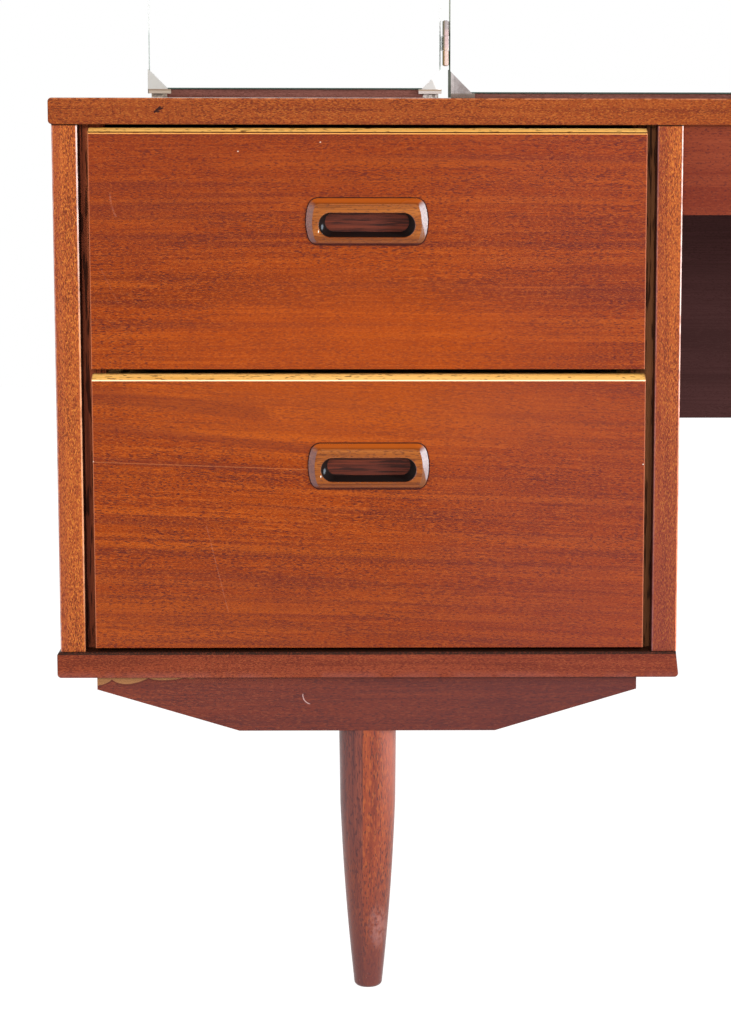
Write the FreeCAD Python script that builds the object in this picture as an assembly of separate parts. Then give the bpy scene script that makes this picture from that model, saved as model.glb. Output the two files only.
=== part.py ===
import FreeCAD, Part
import math
import os

# Double-pedestal dressing desk: four drawers, turned legs and a folding triple mirror.
# Millimetres.  +X runs along the width, the drawers face -Y, +Z is up.
# The origin is the middle of the bounding box, on the floor.

# ---- driving dimensions -------------------------------------------------------------------
DESK_WIDTH = 1520.0
TOP_DEPTH = 430.0
TOP_HEIGHT = 706.0
SLAB = 20.0
BASE_THICKNESS = 20.5
PANEL = 19.5
PEDESTAL_WIDTH = 480.6
LEG_LENGTH = 214.0
BEARER_HEIGHT = 44.0
POST_THICKNESS = 18.0
MIRROR_TOP = 1200.0

# ---- carcass ------------------------------------------------------------------------------
SLAB_END_RADIUS = 3.0
SLAB_ARRIS = 1.0
PANEL_ARRIS = 0.7
PANEL_INSET = 2.5
PEDESTAL_INSET = 2.2
BASE_OVERHANG_OUTSIDE = 2.7
BASE_INSIDE_STEP = 0.5
BASE_INSIDE_LEAN = 2.4
PEDESTAL_BACK_THICKNESS = 5.0
PEDESTAL_BACK_SETBACK = 6.0
STILE_WIDTH = 17.0
STILE_DEPTH = 22.0
STILE_GAP = 0.5
RAIL_THICKNESS = 18.0
RAIL_HEIGHT = 68.5
RAIL_SETBACK = 10.0
MODESTY_THICKNESS = 12.0
MODESTY_BOTTOM = 417.0
MODESTY_SETBACK = 20.0

# ---- bearers and legs ---------------------------------------------------------------------
UNDERFRAME_SHIFT_OUT = 1.6
BEARER_THICKNESS = 45.0
BEARER_SETBACK = 8.0
BEARER_LENGTH = 422.5
BEARER_FLAT = 200.6
BEARER_END_HEIGHT = 10.8
LEG_TOP_RADIUS = 22.6
LEG_KNEE_RADIUS = 21.9
LEG_STRAIGHT = 62.0
LEG_FOOT_RADIUS = 11.2
LEG_FOOT_ROUND = 4.0
LEG_BULGE = 1.3
BOLT_RADIUS = 4.0
BOLT_INTO_LEG = 45.0
BOLT_INTO_BEARER = 34.0

# ---- drawers ------------------------------------------------------------------------------
FRONT_WIDTH = 426.0
LOWER_FRONT_EXTRA_WIDTH = 0.9
FRONT_THICKNESS = 18.0
FRONT_BEVEL_RISE = 3.9
FRONT_BEVEL_DEPTH = 9.0
FRONT_ARRIS = 0.6
FRONT_GAP = 2.8
FRONT_GAP_MIDDLE = 4.7
LOWER_FACE_TOP = 490.9
DRAWER_BOX_GAP = 1.5
DRAWER_SIDE = 10.0
DRAWER_BACK = 10.0
DRAWER_BOTTOM = 4.0
DRAWER_BOTTOM_RISE = 8.0
DRAWER_BACK_CLEARANCE = 12.0
DRAWER_BACK_DROP = 10.0
RUNNER_LEDGE = 9.0
RUNNER_CLEARANCE = 0.4
UPPER_RUNNER_TOP = 513.0
UPPER_RUNNER_HEIGHT = 20.0
LOWER_RUNNER_HEIGHT = 13.0
UPPER_SIDE_TOP = 674.0
LOWER_SIDE_TOP = 490.0

# ---- pulls --------------------------------------------------------------------------------
PULL_LENGTH = 93.0
PULL_HEIGHT = 35.2
PULL_CORNER = 8.0
PULL_END_RADIUS = 40.0
PULL_PROUD = 4.0
PULL_RIM = 1.2
PULL_BEVEL_SIDE = 5.0
PULL_BEVEL_TOP = 4.2
PULL_BEVEL_BOTTOM = 1.6
PULL_CENTRE_BELOW_FACE_TOP = 66.5
UPPER_PULL_OFF_CENTRE = -0.9
PULL_TENON_MARGIN = 4.5
PULL_TENON_CORNER = 5.0
PULL_TENON_DEPTH = 14.0
POCKET_LENGTH = 74.6
POCKET_HEIGHT = 18.9
POCKET_DROP = 2.8
POCKET_DEPTH = 13.5
POCKET_TAPER_SIDE = 5.0
POCKET_TAPER_BOTTOM = 4.0
PULL_LAND_CORNER = 5.0
PULL_LAND_ROUND = 2.0
POCKET_MOUTH_ROUND = 0.7
POCKET_END_FLAT = 0.1
POCKET_CUTTER_PROUD = 1.0

# ---- mirror -------------------------------------------------------------------------------
WING_GLASS_WIDTH = 263.5
WING_OUTER_EDGE = 41.0
HINGE_GAP = 7.6
GLASS = 4.0
GLASS_EDGE = 2.0
GLASS_CHAMFER = 1.2
BOARD = 9.0
WING_BOARD_CLEARANCE = 0.2
CENTRE_GLASS_GAP = 4.3
WING_GLASS_GAP = 7.8
CLIP_SHEET = 0.8
CENTRE_CLIP_LEG = 21.0
WING_CLIP_LEG = 17.5
CLIP_PLAY = 0.1
CLIP_TAB = 14.0
CLIP_FLANGE_HEIGHT = 4.0
CLIP_FLANGE_BEYOND = 2.5
HINGE_LENGTH = 39.0
HINGE_MIDDLE_FROM_END = 49.0
HINGE_OFF_MIDDLE = 0.6
HINGE_KNUCKLE_RADIUS = 2.8
HINGE_PIN_RADIUS = 1.3
HINGE_PIN_PLAY = 0.05
HINGE_CAP_RADIUS = 2.6
HINGE_CAP_HEIGHT = 0.9
HINGE_LEAF = 1.2
HINGE_KNUCKLE_PLAY = 0.3
HINGE_WEB_OFFSET = 1.2
HINGE_PROUD = 0.5
POST_WIDTH = 45.0
POST_BOTTOM = 440.0
POST_TOP = 1150.0
POST_OUTER_EDGE = 309.5

# ---- wood screws --------------------------------------------------------------------------
SCREW_RADIUS = 2.4
SCREW_HEAD_RADIUS = 4.6
SCREW_HEAD_DEPTH = 3.0
DESK_SCREW_LENGTH = 45.0
DESK_SCREW_HEIGHTS = (470.0, 580.0, 696.0)
BOARD_SCREW_LENGTH = 25.0
BOARD_SCREW_HEIGHTS = (780.0, 950.0, 1120.0)
BEARER_SCREW_LENGTH = 36.0
BEARER_SCREW_SINK = 4.0
BEARER_SCREW_FROM_MIDDLE = 175.0

# ---- derived places -----------------------------------------------------------------------
HALF_WIDTH = DESK_WIDTH / 2
PULL_BEYOND_TOP = PULL_PROUD - PANEL_INSET
FRONT = -(TOP_DEPTH + POST_THICKNESS - PULL_BEYOND_TOP) / 2
BACK = FRONT + TOP_DEPTH
SLAB_UNDERSIDE = TOP_HEIGHT - SLAB
BASE_BOTTOM = LEG_LENGTH + BEARER_HEIGHT
BASE_TOP = BASE_BOTTOM + BASE_THICKNESS
PANEL_FRONT = FRONT + PANEL_INSET
PANEL_BACK = BACK
PEDESTAL_OUT = -HALF_WIDTH + PEDESTAL_INSET
PEDESTAL_IN = PEDESTAL_OUT + PEDESTAL_WIDTH
PEDESTAL_MIDDLE = (PEDESTAL_OUT + PEDESTAL_IN) / 2
UNDERFRAME_MIDDLE = PEDESTAL_MIDDLE - UNDERFRAME_SHIFT_OUT
POST_MIDDLE = -POST_OUTER_EDGE + POST_WIDTH / 2
BACK_PANEL_BACK = PANEL_BACK - PEDESTAL_BACK_SETBACK
BACK_PANEL_FRONT = BACK_PANEL_BACK - PEDESTAL_BACK_THICKNESS
STILE_FRONT = PANEL_FRONT + FRONT_THICKNESS + STILE_GAP
LOWER_FACE_BOTTOM = BASE_TOP + FRONT_GAP
UPPER_FACE_BOTTOM = LOWER_FACE_TOP + FRONT_BEVEL_RISE + FRONT_GAP_MIDDLE
UPPER_FACE_TOP = SLAB_UNDERSIDE - FRONT_GAP - FRONT_BEVEL_RISE
BOARD_BACK = BACK
BOARD_FRONT = BOARD_BACK - BOARD
GLASS_FRONT = BOARD_FRONT - GLASS
WING_GLASS_OUT = -HALF_WIDTH + WING_OUTER_EDGE
WING_GLASS_IN = WING_GLASS_OUT + WING_GLASS_WIDTH
HINGE_X = WING_GLASS_IN + HINGE_GAP / 2 + HINGE_OFF_MIDDLE
HINGE_Y = GLASS_FRONT - HINGE_PROUD
CENTRE_GLASS_OUT = WING_GLASS_IN + HINGE_GAP
WING_BOARD_BOTTOM = TOP_HEIGHT + WING_BOARD_CLEARANCE

# ---- tolerances for finding edges ----------------------------------------------------------
SAME_PLACE = 0.01
NEARLY_ALL = 0.999


# ---- helpers ------------------------------------------------------------------------------
def vec(x, y, z):
    return FreeCAD.Vector(x, y, z)


def block(x0, x1, y0, y1, z0, z1):
    return Part.makeBox(x1 - x0, y1 - y0, z1 - z0, vec(x0, y0, z0))


def mirrored(shape):
    return shape.mirror(vec(0, 0, 0), vec(1, 0, 0))


def prism(points, direction):
    face = Part.Face(Part.makePolygon(points + [points[0]]))
    return face.extrude(direction)


def edges_where(shape, test):
    """The straight edges whose two ends both pass the test."""
    found = []
    for edge in shape.Edges:
        ends = [v.Point for v in edge.Vertexes]
        if len(ends) == 2 and all(test(p) for p in ends):
            found.append(edge)
    return found


def runs_along(edge, axis):
    ends = [v.Point for v in edge.Vertexes]
    span = ends[1].sub(ends[0])
    return abs(getattr(span, axis)) > NEARLY_ALL * span.Length


def wood_screw(head, direction, length):
    """A countersunk wood screw: the middle of its head, its direction and its length."""
    cone = Part.makeCone(SCREW_HEAD_RADIUS, SCREW_RADIUS, SCREW_HEAD_DEPTH, head, direction)
    shank = Part.makeCylinder(SCREW_RADIUS, length, head, direction)
    return cone.fuse(shank).removeSplitter()


def drilled(shape, screws):
    for screw in screws:
        shape = shape.cut(screw)
    return shape


def write(name, *solids):
    shape = solids[0] if len(solids) == 1 else Part.makeCompound(list(solids))
    shape.exportStep("parts/" + name + ".step")


def write_pair(name, *solids):
    """Writes the left piece and its mirror image on the right."""
    write("left_" + name, *solids)
    write("right_" + name, *[mirrored(s) for s in solids])


# ---- screws --------------------------------------------------------------------------------
def post_screws(heights, length):
    """Screws driven forwards through the left mirror post."""
    back = BACK + POST_THICKNESS
    return [wood_screw(vec(POST_MIDDLE, back, z), vec(0, -1, 0), length) for z in heights]


def desk_screws():
    return post_screws(DESK_SCREW_HEIGHTS, DESK_SCREW_LENGTH)


def board_screws():
    return post_screws(BOARD_SCREW_HEIGHTS, BOARD_SCREW_LENGTH)


def bearer_screws(front):
    """Screws driven up through the slanted ends of one left bearer, heads sunk in the slants."""
    slope = (BEARER_HEIGHT - BEARER_END_HEIGHT) / (BEARER_LENGTH / 2 - BEARER_FLAT / 2)
    head_z = LEG_LENGTH + slope * (BEARER_SCREW_FROM_MIDDLE - BEARER_FLAT / 2) + BEARER_SCREW_SINK
    screws = []
    for side in (-1, 1):
        head = vec(UNDERFRAME_MIDDLE + side * BEARER_SCREW_FROM_MIDDLE, leg_axis_y(front), head_z)
        screws.append(wood_screw(head, vec(0, 0, 1), BEARER_SCREW_LENGTH))
    return screws


# ---- boards -------------------------------------------------------------------------------
def slab(x0, x1, y0, y1, z0, z1, lean=0.0):
    """A board with round end edges and a fine arris on its long edges.

    With a lean, the end at x1 slopes outward to the bottom and keeps its upper edge sharp.
    """
    outline = [vec(x0, y0, z0), vec(x1 + lean, y0, z0), vec(x1, y0, z1), vec(x0, y0, z1)]
    board = prism(outline, vec(0, y1 - y0, 0))
    ends = [e for e in board.Edges if runs_along(e, "y")]
    if lean:
        ends = [e for e in ends if e.BoundBox.XMax < x1 - SAME_PLACE or e.BoundBox.ZMin < z1 - SAME_PLACE]
    board = board.makeFillet(SLAB_END_RADIUS, ends)
    near = edges_where(board, lambda p: abs(p.y - y0) < SAME_PLACE)
    far = edges_where(board, lambda p: abs(p.y - y1) < SAME_PLACE)
    long_edges = [e for e in near + far if runs_along(e, "x")]
    return board.makeFillet(SLAB_ARRIS, long_edges)


def side_panel(x0):
    board = block(x0, x0 + PANEL, PANEL_FRONT, PANEL_BACK, BASE_TOP, SLAB_UNDERSIDE)
    front = edges_where(board, lambda p: abs(p.y - PANEL_FRONT) < SAME_PLACE)
    return board.makeFillet(PANEL_ARRIS, [e for e in front if runs_along(e, "z")])


def guide_stile(x0):
    return block(x0, x0 + STILE_WIDTH, STILE_FRONT, STILE_FRONT + STILE_DEPTH, BASE_TOP, SLAB_UNDERSIDE)


def runner(on_left, top, height):
    """A hardwood batten on the pedestal's side, with a ledge under the drawer side."""
    width = STILE_WIDTH + RUNNER_LEDGE
    x0 = PEDESTAL_OUT + PANEL if on_left else PEDESTAL_IN - PANEL - width
    return block(x0, x0 + width, STILE_FRONT + STILE_DEPTH, BACK_PANEL_FRONT, top - height, top)


def carcass():
    screws = desk_screws()
    top = slab(-HALF_WIDTH, HALF_WIDTH, FRONT, BACK, SLAB_UNDERSIDE, TOP_HEIGHT)
    write("desk_top", drilled(top, screws + [mirrored(s) for s in screws]))
    write_pair("outer_side", side_panel(PEDESTAL_OUT))
    write_pair("inner_side", drilled(side_panel(PEDESTAL_IN - PANEL), screws))
    base = slab(PEDESTAL_OUT - BASE_OVERHANG_OUTSIDE, PEDESTAL_IN - BASE_INSIDE_STEP,
                FRONT, BACK, BASE_BOTTOM, BASE_TOP, BASE_INSIDE_LEAN)
    write_pair("base_board", drilled(base, bearer_screws(True) + bearer_screws(False)))
    write_pair("pedestal_back", block(PEDESTAL_OUT + PANEL, PEDESTAL_IN - PANEL,
                                      BACK_PANEL_FRONT, BACK_PANEL_BACK, BASE_TOP, SLAB_UNDERSIDE))
    write_pair("guide_stiles", guide_stile(PEDESTAL_OUT + PANEL),
               guide_stile(PEDESTAL_IN - PANEL - STILE_WIDTH))
    lower_top = BASE_TOP + LOWER_RUNNER_HEIGHT
    write_pair("drawer_runners",
               runner(True, UPPER_RUNNER_TOP, UPPER_RUNNER_HEIGHT),
               runner(False, UPPER_RUNNER_TOP, UPPER_RUNNER_HEIGHT),
               runner(True, lower_top, LOWER_RUNNER_HEIGHT),
               runner(False, lower_top, LOWER_RUNNER_HEIGHT))


def kneehole():
    rail_front = FRONT + RAIL_SETBACK
    write("kneehole_rail", block(PEDESTAL_IN, -PEDESTAL_IN, rail_front, rail_front + RAIL_THICKNESS,
                                 SLAB_UNDERSIDE - RAIL_HEIGHT, SLAB_UNDERSIDE))
    panel_back = PANEL_BACK - MODESTY_SETBACK
    write("modesty_panel", block(PEDESTAL_IN, -PEDESTAL_IN, panel_back - MODESTY_THICKNESS, panel_back,
                                 MODESTY_BOTTOM, SLAB_UNDERSIDE))


# ---- bearers, legs and their bolts --------------------------------------------------------
def leg_axis_y(front):
    inset = BEARER_SETBACK + BEARER_THICKNESS / 2
    return FRONT + inset if front else BACK - inset


def bearer(front):
    """A trapezoid rail: short upright ends, long slants and a flat middle."""
    middle = leg_axis_y(front)
    y0 = middle - BEARER_THICKNESS / 2
    half = BEARER_LENGTH / 2
    flat = BEARER_FLAT / 2
    outline = [(-half, BASE_BOTTOM), (half, BASE_BOTTOM), (half, BASE_BOTTOM - BEARER_END_HEIGHT),
               (flat, LEG_LENGTH), (-flat, LEG_LENGTH), (-half, BASE_BOTTOM - BEARER_END_HEIGHT)]
    points = [vec(UNDERFRAME_MIDDLE + x, y0, z) for x, z in outline]
    body = prism(points, vec(0, BEARER_THICKNESS, 0))
    body = body.cut(leg_bolt(front))
    screws = bearer_screws(front)
    for screw in screws:
        centre = screw.BoundBox.Center
        head = vec(centre.x, centre.y, screw.BoundBox.ZMin)
        body = body.cut(Part.makeCylinder(SCREW_HEAD_RADIUS, BEARER_HEIGHT, head, vec(0, 0, -1)))
    return drilled(body, screws)


def leg(front):
    """A turned leg: nearly straight at the top, then a long taper to a rounded foot."""
    taper_start = LEG_LENGTH - LEG_STRAIGHT
    span = vec(LEG_FOOT_RADIUS - LEG_KNEE_RADIUS, 0, LEG_FOOT_ROUND - taper_start)
    outward = vec(-span.z, 0, span.x).normalize()
    middle = vec((LEG_KNEE_RADIUS + LEG_FOOT_RADIUS) / 2, 0, (taper_start + LEG_FOOT_ROUND) / 2)
    bulge = middle.add(outward.multiply(LEG_BULGE))
    toe_radius = LEG_FOOT_RADIUS - LEG_FOOT_ROUND
    toe_middle = vec(toe_radius + LEG_FOOT_ROUND * math.sin(math.pi / 4), 0,
                     LEG_FOOT_ROUND * (1 - math.cos(math.pi / 4)))
    knee = vec(LEG_KNEE_RADIUS, 0, taper_start)
    foot = vec(LEG_FOOT_RADIUS, 0, LEG_FOOT_ROUND)
    toe = vec(toe_radius, 0, 0)
    outline = Part.Wire([
        Part.LineSegment(vec(0, 0, LEG_LENGTH), vec(LEG_TOP_RADIUS, 0, LEG_LENGTH)).toShape(),
        Part.LineSegment(vec(LEG_TOP_RADIUS, 0, LEG_LENGTH), knee).toShape(),
        Part.Arc(knee, bulge, foot).toShape(),
        Part.Arc(foot, toe_middle, toe).toShape(),
        Part.LineSegment(toe, vec(0, 0, 0)).toShape(),
        Part.LineSegment(vec(0, 0, 0), vec(0, 0, LEG_LENGTH)).toShape(),
    ])
    body = Part.Face(outline).revolve(vec(0, 0, 0), vec(0, 0, 1), 360)
    body.translate(vec(UNDERFRAME_MIDDLE, leg_axis_y(front), 0))
    return body.cut(leg_bolt(front))


def leg_bolt(front):
    return Part.makeCylinder(BOLT_RADIUS, BOLT_INTO_LEG + BOLT_INTO_BEARER,
                             vec(UNDERFRAME_MIDDLE, leg_axis_y(front), LEG_LENGTH - BOLT_INTO_LEG))


def underframe():
    for name, front in (("front", True), ("rear", False)):
        write_pair(name + "_bearer", bearer(front))
        write_pair(name + "_leg", leg(front))
    bolts = [leg_bolt(True), leg_bolt(False)]
    write("leg_bolts", *(bolts + [mirrored(b) for b in bolts]))


def mirror_posts():
    screws = desk_screws() + board_screws()
    post = block(-POST_OUTER_EDGE, -POST_OUTER_EDGE + POST_WIDTH, BACK, BACK + POST_THICKNESS,
                 POST_BOTTOM, POST_TOP)
    write_pair("mirror_post", drilled(post, screws))
    screws += bearer_screws(True) + bearer_screws(False)
    write("wood_screws", *(screws + [mirrored(s) for s in screws]))


# ---- pulls --------------------------------------------------------------------------------
def rounded_wire(length, height, corner, y, shift_z=0.0):
    """A rounded rectangle in an upright plane, centred on x = 0 and z = shift_z."""
    x = length / 2
    z = height / 2
    d = corner * (1 - math.sin(math.pi / 4))
    c = corner

    def point(px, pz):
        return vec(px, y, pz + shift_z)

    line = Part.LineSegment
    return Part.Wire([
        line(point(-x + c, z), point(x - c, z)).toShape(),
        Part.Arc(point(x - c, z), point(x - d, z - d), point(x, z - c)).toShape(),
        line(point(x, z - c), point(x, -z + c)).toShape(),
        Part.Arc(point(x, -z + c), point(x - d, -z + d), point(x - c, -z)).toShape(),
        line(point(x - c, -z), point(-x + c, -z)).toShape(),
        Part.Arc(point(-x + c, -z), point(-x + d, -z + d), point(-x, -z + c)).toShape(),
        line(point(-x, -z + c), point(-x, z - c)).toShape(),
        Part.Arc(point(-x, z - c), point(-x + d, z - d), point(-x + c, z)).toShape(),
    ])


def cushion_wire(length, height, corner, end, y, shift_z=0.0):
    """A long shape with straight top and bottom, round corners and slightly convex ends.

    The two end arcs have the radius end and run into the corner arcs without a kink.
    """
    half = height / 2
    end_x = length / 2 - end
    corner_z = half - corner
    corner_x = end_x + math.sqrt((end - corner) ** 2 - corner_z ** 2)
    tangent_angle = math.atan2(corner_z, corner_x - end_x)
    tangent = (end_x + end * math.cos(tangent_angle), end * math.sin(tangent_angle))
    middle_angle = (tangent_angle + math.pi / 2) / 2
    middle = (corner_x + corner * math.cos(middle_angle), corner_z + corner * math.sin(middle_angle))

    def point(px, pz):
        return vec(px, y, pz + shift_z)

    edges = []
    for side in (1, -1):
        start = point(-side * corner_x, side * half)
        corner_start = point(side * corner_x, side * half)
        corner_middle = point(side * middle[0], side * middle[1])
        end_start = point(side * tangent[0], side * tangent[1])
        end_middle = point(side * length / 2, 0)
        end_stop = point(side * tangent[0], -side * tangent[1])
        last_middle = point(side * middle[0], -side * middle[1])
        last_stop = point(side * corner_x, -side * half)
        edges.append(Part.LineSegment(start, corner_start))
        edges.append(Part.Arc(corner_start, corner_middle, end_start))
        edges.append(Part.Arc(end_start, end_middle, end_stop))
        edges.append(Part.Arc(end_stop, last_middle, last_stop))
    return Part.Wire([edge.toShape() for edge in edges])


def pull_tenon():
    """The part of the pull that is let into the drawer front, behind the face at y = 0."""
    length = PULL_LENGTH - 2 * PULL_TENON_MARGIN
    height = PULL_HEIGHT - 2 * PULL_TENON_MARGIN
    outline = rounded_wire(length, height, PULL_TENON_CORNER, 0)
    return Part.Face(outline).extrude(vec(0, PULL_TENON_DEPTH, 0))


def pull():
    """A carved wooden pull with bevelled edges and a dished finger pocket."""
    land_length = PULL_LENGTH - 2 * PULL_BEVEL_SIDE
    land_height = PULL_HEIGHT - PULL_BEVEL_TOP - PULL_BEVEL_BOTTOM
    land_shift = (PULL_BEVEL_BOTTOM - PULL_BEVEL_TOP) / 2
    outer = Part.Face(cushion_wire(PULL_LENGTH, PULL_HEIGHT, PULL_CORNER, PULL_END_RADIUS, 0))
    plinth = outer.extrude(vec(0, -PULL_RIM, 0))
    bevel = Part.makeLoft([
        cushion_wire(PULL_LENGTH, PULL_HEIGHT, PULL_CORNER, PULL_END_RADIUS, -PULL_RIM),
        cushion_wire(land_length, land_height, PULL_LAND_CORNER, PULL_END_RADIUS, -PULL_PROUD, land_shift),
    ], True, True)
    body = plinth.fuse([bevel, pull_tenon()]).removeSplitter()
    land = edges_where(body, lambda p: abs(p.y + PULL_PROUD) < SAME_PLACE)
    body = body.makeFillet(PULL_LAND_ROUND, land)
    back_height = POCKET_HEIGHT - POCKET_TAPER_BOTTOM
    back_length = POCKET_LENGTH - 2 * POCKET_TAPER_SIDE
    back_shift = -POCKET_DROP + POCKET_TAPER_BOTTOM / 2
    mouth_corner = (POCKET_HEIGHT - POCKET_END_FLAT) / 2
    back_corner = (back_height - POCKET_END_FLAT) / 2
    mouth_y = -PULL_PROUD - POCKET_CUTTER_PROUD
    back_y = POCKET_DEPTH - PULL_PROUD
    pocket = Part.makeLoft([
        rounded_wire(POCKET_LENGTH, POCKET_HEIGHT, mouth_corner, mouth_y, -POCKET_DROP),
        rounded_wire(back_length, back_height, back_corner, back_y, back_shift),
    ], True, True)
    body = body.cut(pocket)
    mouth = edges_where(body, lambda p: abs(p.y + PULL_PROUD) < SAME_PLACE)
    return body.makeFillet(POCKET_MOUTH_ROUND, mouth)


# ---- drawers ------------------------------------------------------------------------------
def drawer(name, face_bottom, face_top, front_width, pull_x, side_bottom, side_top):
    """One drawer, in its closed place in the left pedestal, and its mirror image."""
    x0 = PEDESTAL_MIDDLE - FRONT_WIDTH / 2
    y0 = PANEL_FRONT
    y1 = y0 + FRONT_THICKNESS
    front_top = face_top + FRONT_BEVEL_RISE
    section = [vec(x0, y0, face_bottom), vec(x0, y1, face_bottom), vec(x0, y1, front_top),
               vec(x0, y0 + FRONT_BEVEL_DEPTH, front_top), vec(x0, y0, face_top)]
    front = prism(section, vec(front_width, 0, 0))
    outline = edges_where(front, lambda p: abs(p.y - y0) < SAME_PLACE)
    front = front.makeFillet(FRONT_ARRIS, outline)
    pull_place = vec(pull_x, y0, face_top - PULL_CENTRE_BELOW_FACE_TOP)
    mortise = pull_tenon()
    mortise.translate(pull_place)
    front = front.cut(mortise)
    handle = pull()
    handle.translate(pull_place)

    box_x0 = PEDESTAL_OUT + PANEL + STILE_WIDTH + DRAWER_BOX_GAP
    box_x1 = PEDESTAL_IN - PANEL - STILE_WIDTH - DRAWER_BOX_GAP
    box_y1 = BACK_PANEL_FRONT - DRAWER_BACK_CLEARANCE
    back_y0 = box_y1 - DRAWER_BACK
    inner_x0 = box_x0 + DRAWER_SIDE
    inner_x1 = box_x1 - DRAWER_SIDE
    floor_z = side_bottom + DRAWER_BOTTOM_RISE
    floor_top = floor_z + DRAWER_BOTTOM
    left_side = block(box_x0, inner_x0, y1, box_y1, side_bottom, side_top)
    right_side = block(inner_x1, box_x1, y1, box_y1, side_bottom, side_top)
    back = block(inner_x0, inner_x1, back_y0, box_y1, floor_top, side_top - DRAWER_BACK_DROP)
    bottom = block(inner_x0, inner_x1, y1, box_y1, floor_z, floor_top)

    write_pair(name + "_drawer_front", front)
    write_pair(name + "_drawer_pull", handle)
    write_pair(name + "_drawer_sides", left_side, right_side)
    write_pair(name + "_drawer_back", back)
    write_pair(name + "_drawer_bottom", bottom)


def drawers():
    upper_side_bottom = UPPER_RUNNER_TOP + RUNNER_CLEARANCE
    upper_pull_x = PEDESTAL_MIDDLE + UPPER_PULL_OFF_CENTRE
    drawer("upper", UPPER_FACE_BOTTOM, UPPER_FACE_TOP, FRONT_WIDTH, upper_pull_x,
           upper_side_bottom, UPPER_SIDE_TOP)
    lower_side_bottom = BASE_TOP + LOWER_RUNNER_HEIGHT + RUNNER_CLEARANCE
    lower_front_width = FRONT_WIDTH + LOWER_FRONT_EXTRA_WIDTH
    drawer("lower", LOWER_FACE_BOTTOM, LOWER_FACE_TOP, lower_front_width, PEDESTAL_MIDDLE,
           lower_side_bottom, LOWER_SIDE_TOP)


# ---- mirror -------------------------------------------------------------------------------
def glass(x0, x1, z0, z1):
    pane = block(x0, x1, GLASS_FRONT, BOARD_FRONT, z0, z1)
    front = edges_where(pane, lambda p: abs(p.y - GLASS_FRONT) < SAME_PLACE)
    return pane.makeChamfer(GLASS_CHAMFER, front)


def corner_clip(x, z, inward_x, inward_z, leg_length, tab_height):
    """A folded metal clip that holds one corner of the glass, with a flange past the glass's end.

    (x, z) is the corner of the glass; inward_x and inward_z point to the middle of the pane.
    """
    front_y = GLASS_FRONT - CLIP_PLAY
    far = CLIP_PLAY + CLIP_SHEET

    def place(along_x, y, along_z):
        return vec(x + inward_x * along_x, y, z + inward_z * along_z)

    def plate(a0, a1, y0, y1, b0, b1):
        p = place(a0, y0, b0)
        q = place(a1, y1, b1)
        return block(min(p.x, q.x), max(p.x, q.x), y0, y1, min(p.z, q.z), max(p.z, q.z))

    flange_end = leg_length + CLIP_FLANGE_BEYOND
    corners = [place(-far, front_y, -CLIP_FLANGE_HEIGHT), place(flange_end, front_y, -CLIP_FLANGE_HEIGHT),
               place(flange_end, front_y, 0), place(leg_length, front_y, 0),
               place(0, front_y, leg_length), place(-far, front_y, leg_length)]
    face = prism(corners, vec(0, -CLIP_SHEET, 0))
    side_lip = plate(-far, -CLIP_PLAY, front_y - CLIP_SHEET, BOARD_FRONT, -far, leg_length)
    end_lip = plate(-far, leg_length, front_y - CLIP_SHEET, BOARD_FRONT, -far, -CLIP_PLAY)
    tab = plate(GLASS_EDGE, GLASS_EDGE + CLIP_TAB, BOARD_FRONT - CLIP_SHEET, BOARD_FRONT,
                -far - tab_height, -CLIP_PLAY)
    return face.fuse([side_lip, end_lip, tab]).removeSplitter()


def pane_clips(x0, x1, z0, z1, leg_length, board_bottom):
    tab_height = z0 - board_bottom - CLIP_PLAY - CLIP_SHEET
    clips = []
    for x, inward_x in ((x0, 1), (x1, -1)):
        for z, inward_z in ((z0, 1), (z1, -1)):
            clips.append(corner_clip(x, z, inward_x, inward_z, leg_length, tab_height))
    return clips


def hinge_leaf(edge_x, towards, z_middle, knuckles):
    """One cranked leaf: a plate on the board's edge, webs past the glass and its knuckles.

    edge_x is the board's edge, towards is +1 when the pin lies at higher x.
    """
    z0 = z_middle - HINGE_LENGTH / 2
    third = HINGE_LENGTH / 3
    foot_back = BOARD_FRONT + HINGE_LEAF
    web_far = HINGE_X - towards * HINGE_WEB_OFFSET
    web_near = web_far - towards * HINGE_LEAF

    def plate(xa, xb, y0, y1, low, high):
        return block(min(xa, xb), max(xa, xb), y0, y1, low, high)

    pieces = [plate(edge_x, edge_x + towards * HINGE_LEAF, BOARD_FRONT, BOARD_BACK, z0, z0 + HINGE_LENGTH)]
    for index in knuckles:
        low = z0 + index * third + (HINGE_KNUCKLE_PLAY / 2 if index > 0 else 0)
        high = z0 + (index + 1) * third - (HINGE_KNUCKLE_PLAY / 2 if index < 2 else 0)
        pieces.append(Part.makeCylinder(HINGE_KNUCKLE_RADIUS, high - low, vec(HINGE_X, HINGE_Y, low)))
        pieces.append(plate(web_near, web_far, HINGE_Y, foot_back, low, high))
        pieces.append(plate(edge_x, web_far, BOARD_FRONT, foot_back, low, high))
    pin_hole = Part.makeCylinder(HINGE_PIN_RADIUS + HINGE_PIN_PLAY, HINGE_LENGTH,
                                 vec(HINGE_X, HINGE_Y, z0))
    return pieces[0].fuse(pieces[1:]).cut(pin_hole).removeSplitter()


def hinge_pin(z_middle):
    z0 = z_middle - HINGE_LENGTH / 2
    pin = Part.makeCylinder(HINGE_PIN_RADIUS, HINGE_LENGTH, vec(HINGE_X, HINGE_Y, z0))
    caps = []
    for z, tip in ((z0, -1), (z0 + HINGE_LENGTH, 1)):
        end = vec(HINGE_X, HINGE_Y, z)
        outward = vec(0, 0, tip)
        caps.append(Part.makeCone(HINGE_CAP_RADIUS, HINGE_PIN_RADIUS, HINGE_CAP_HEIGHT, end, outward))
    return pin.fuse(caps).removeSplitter()


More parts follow.
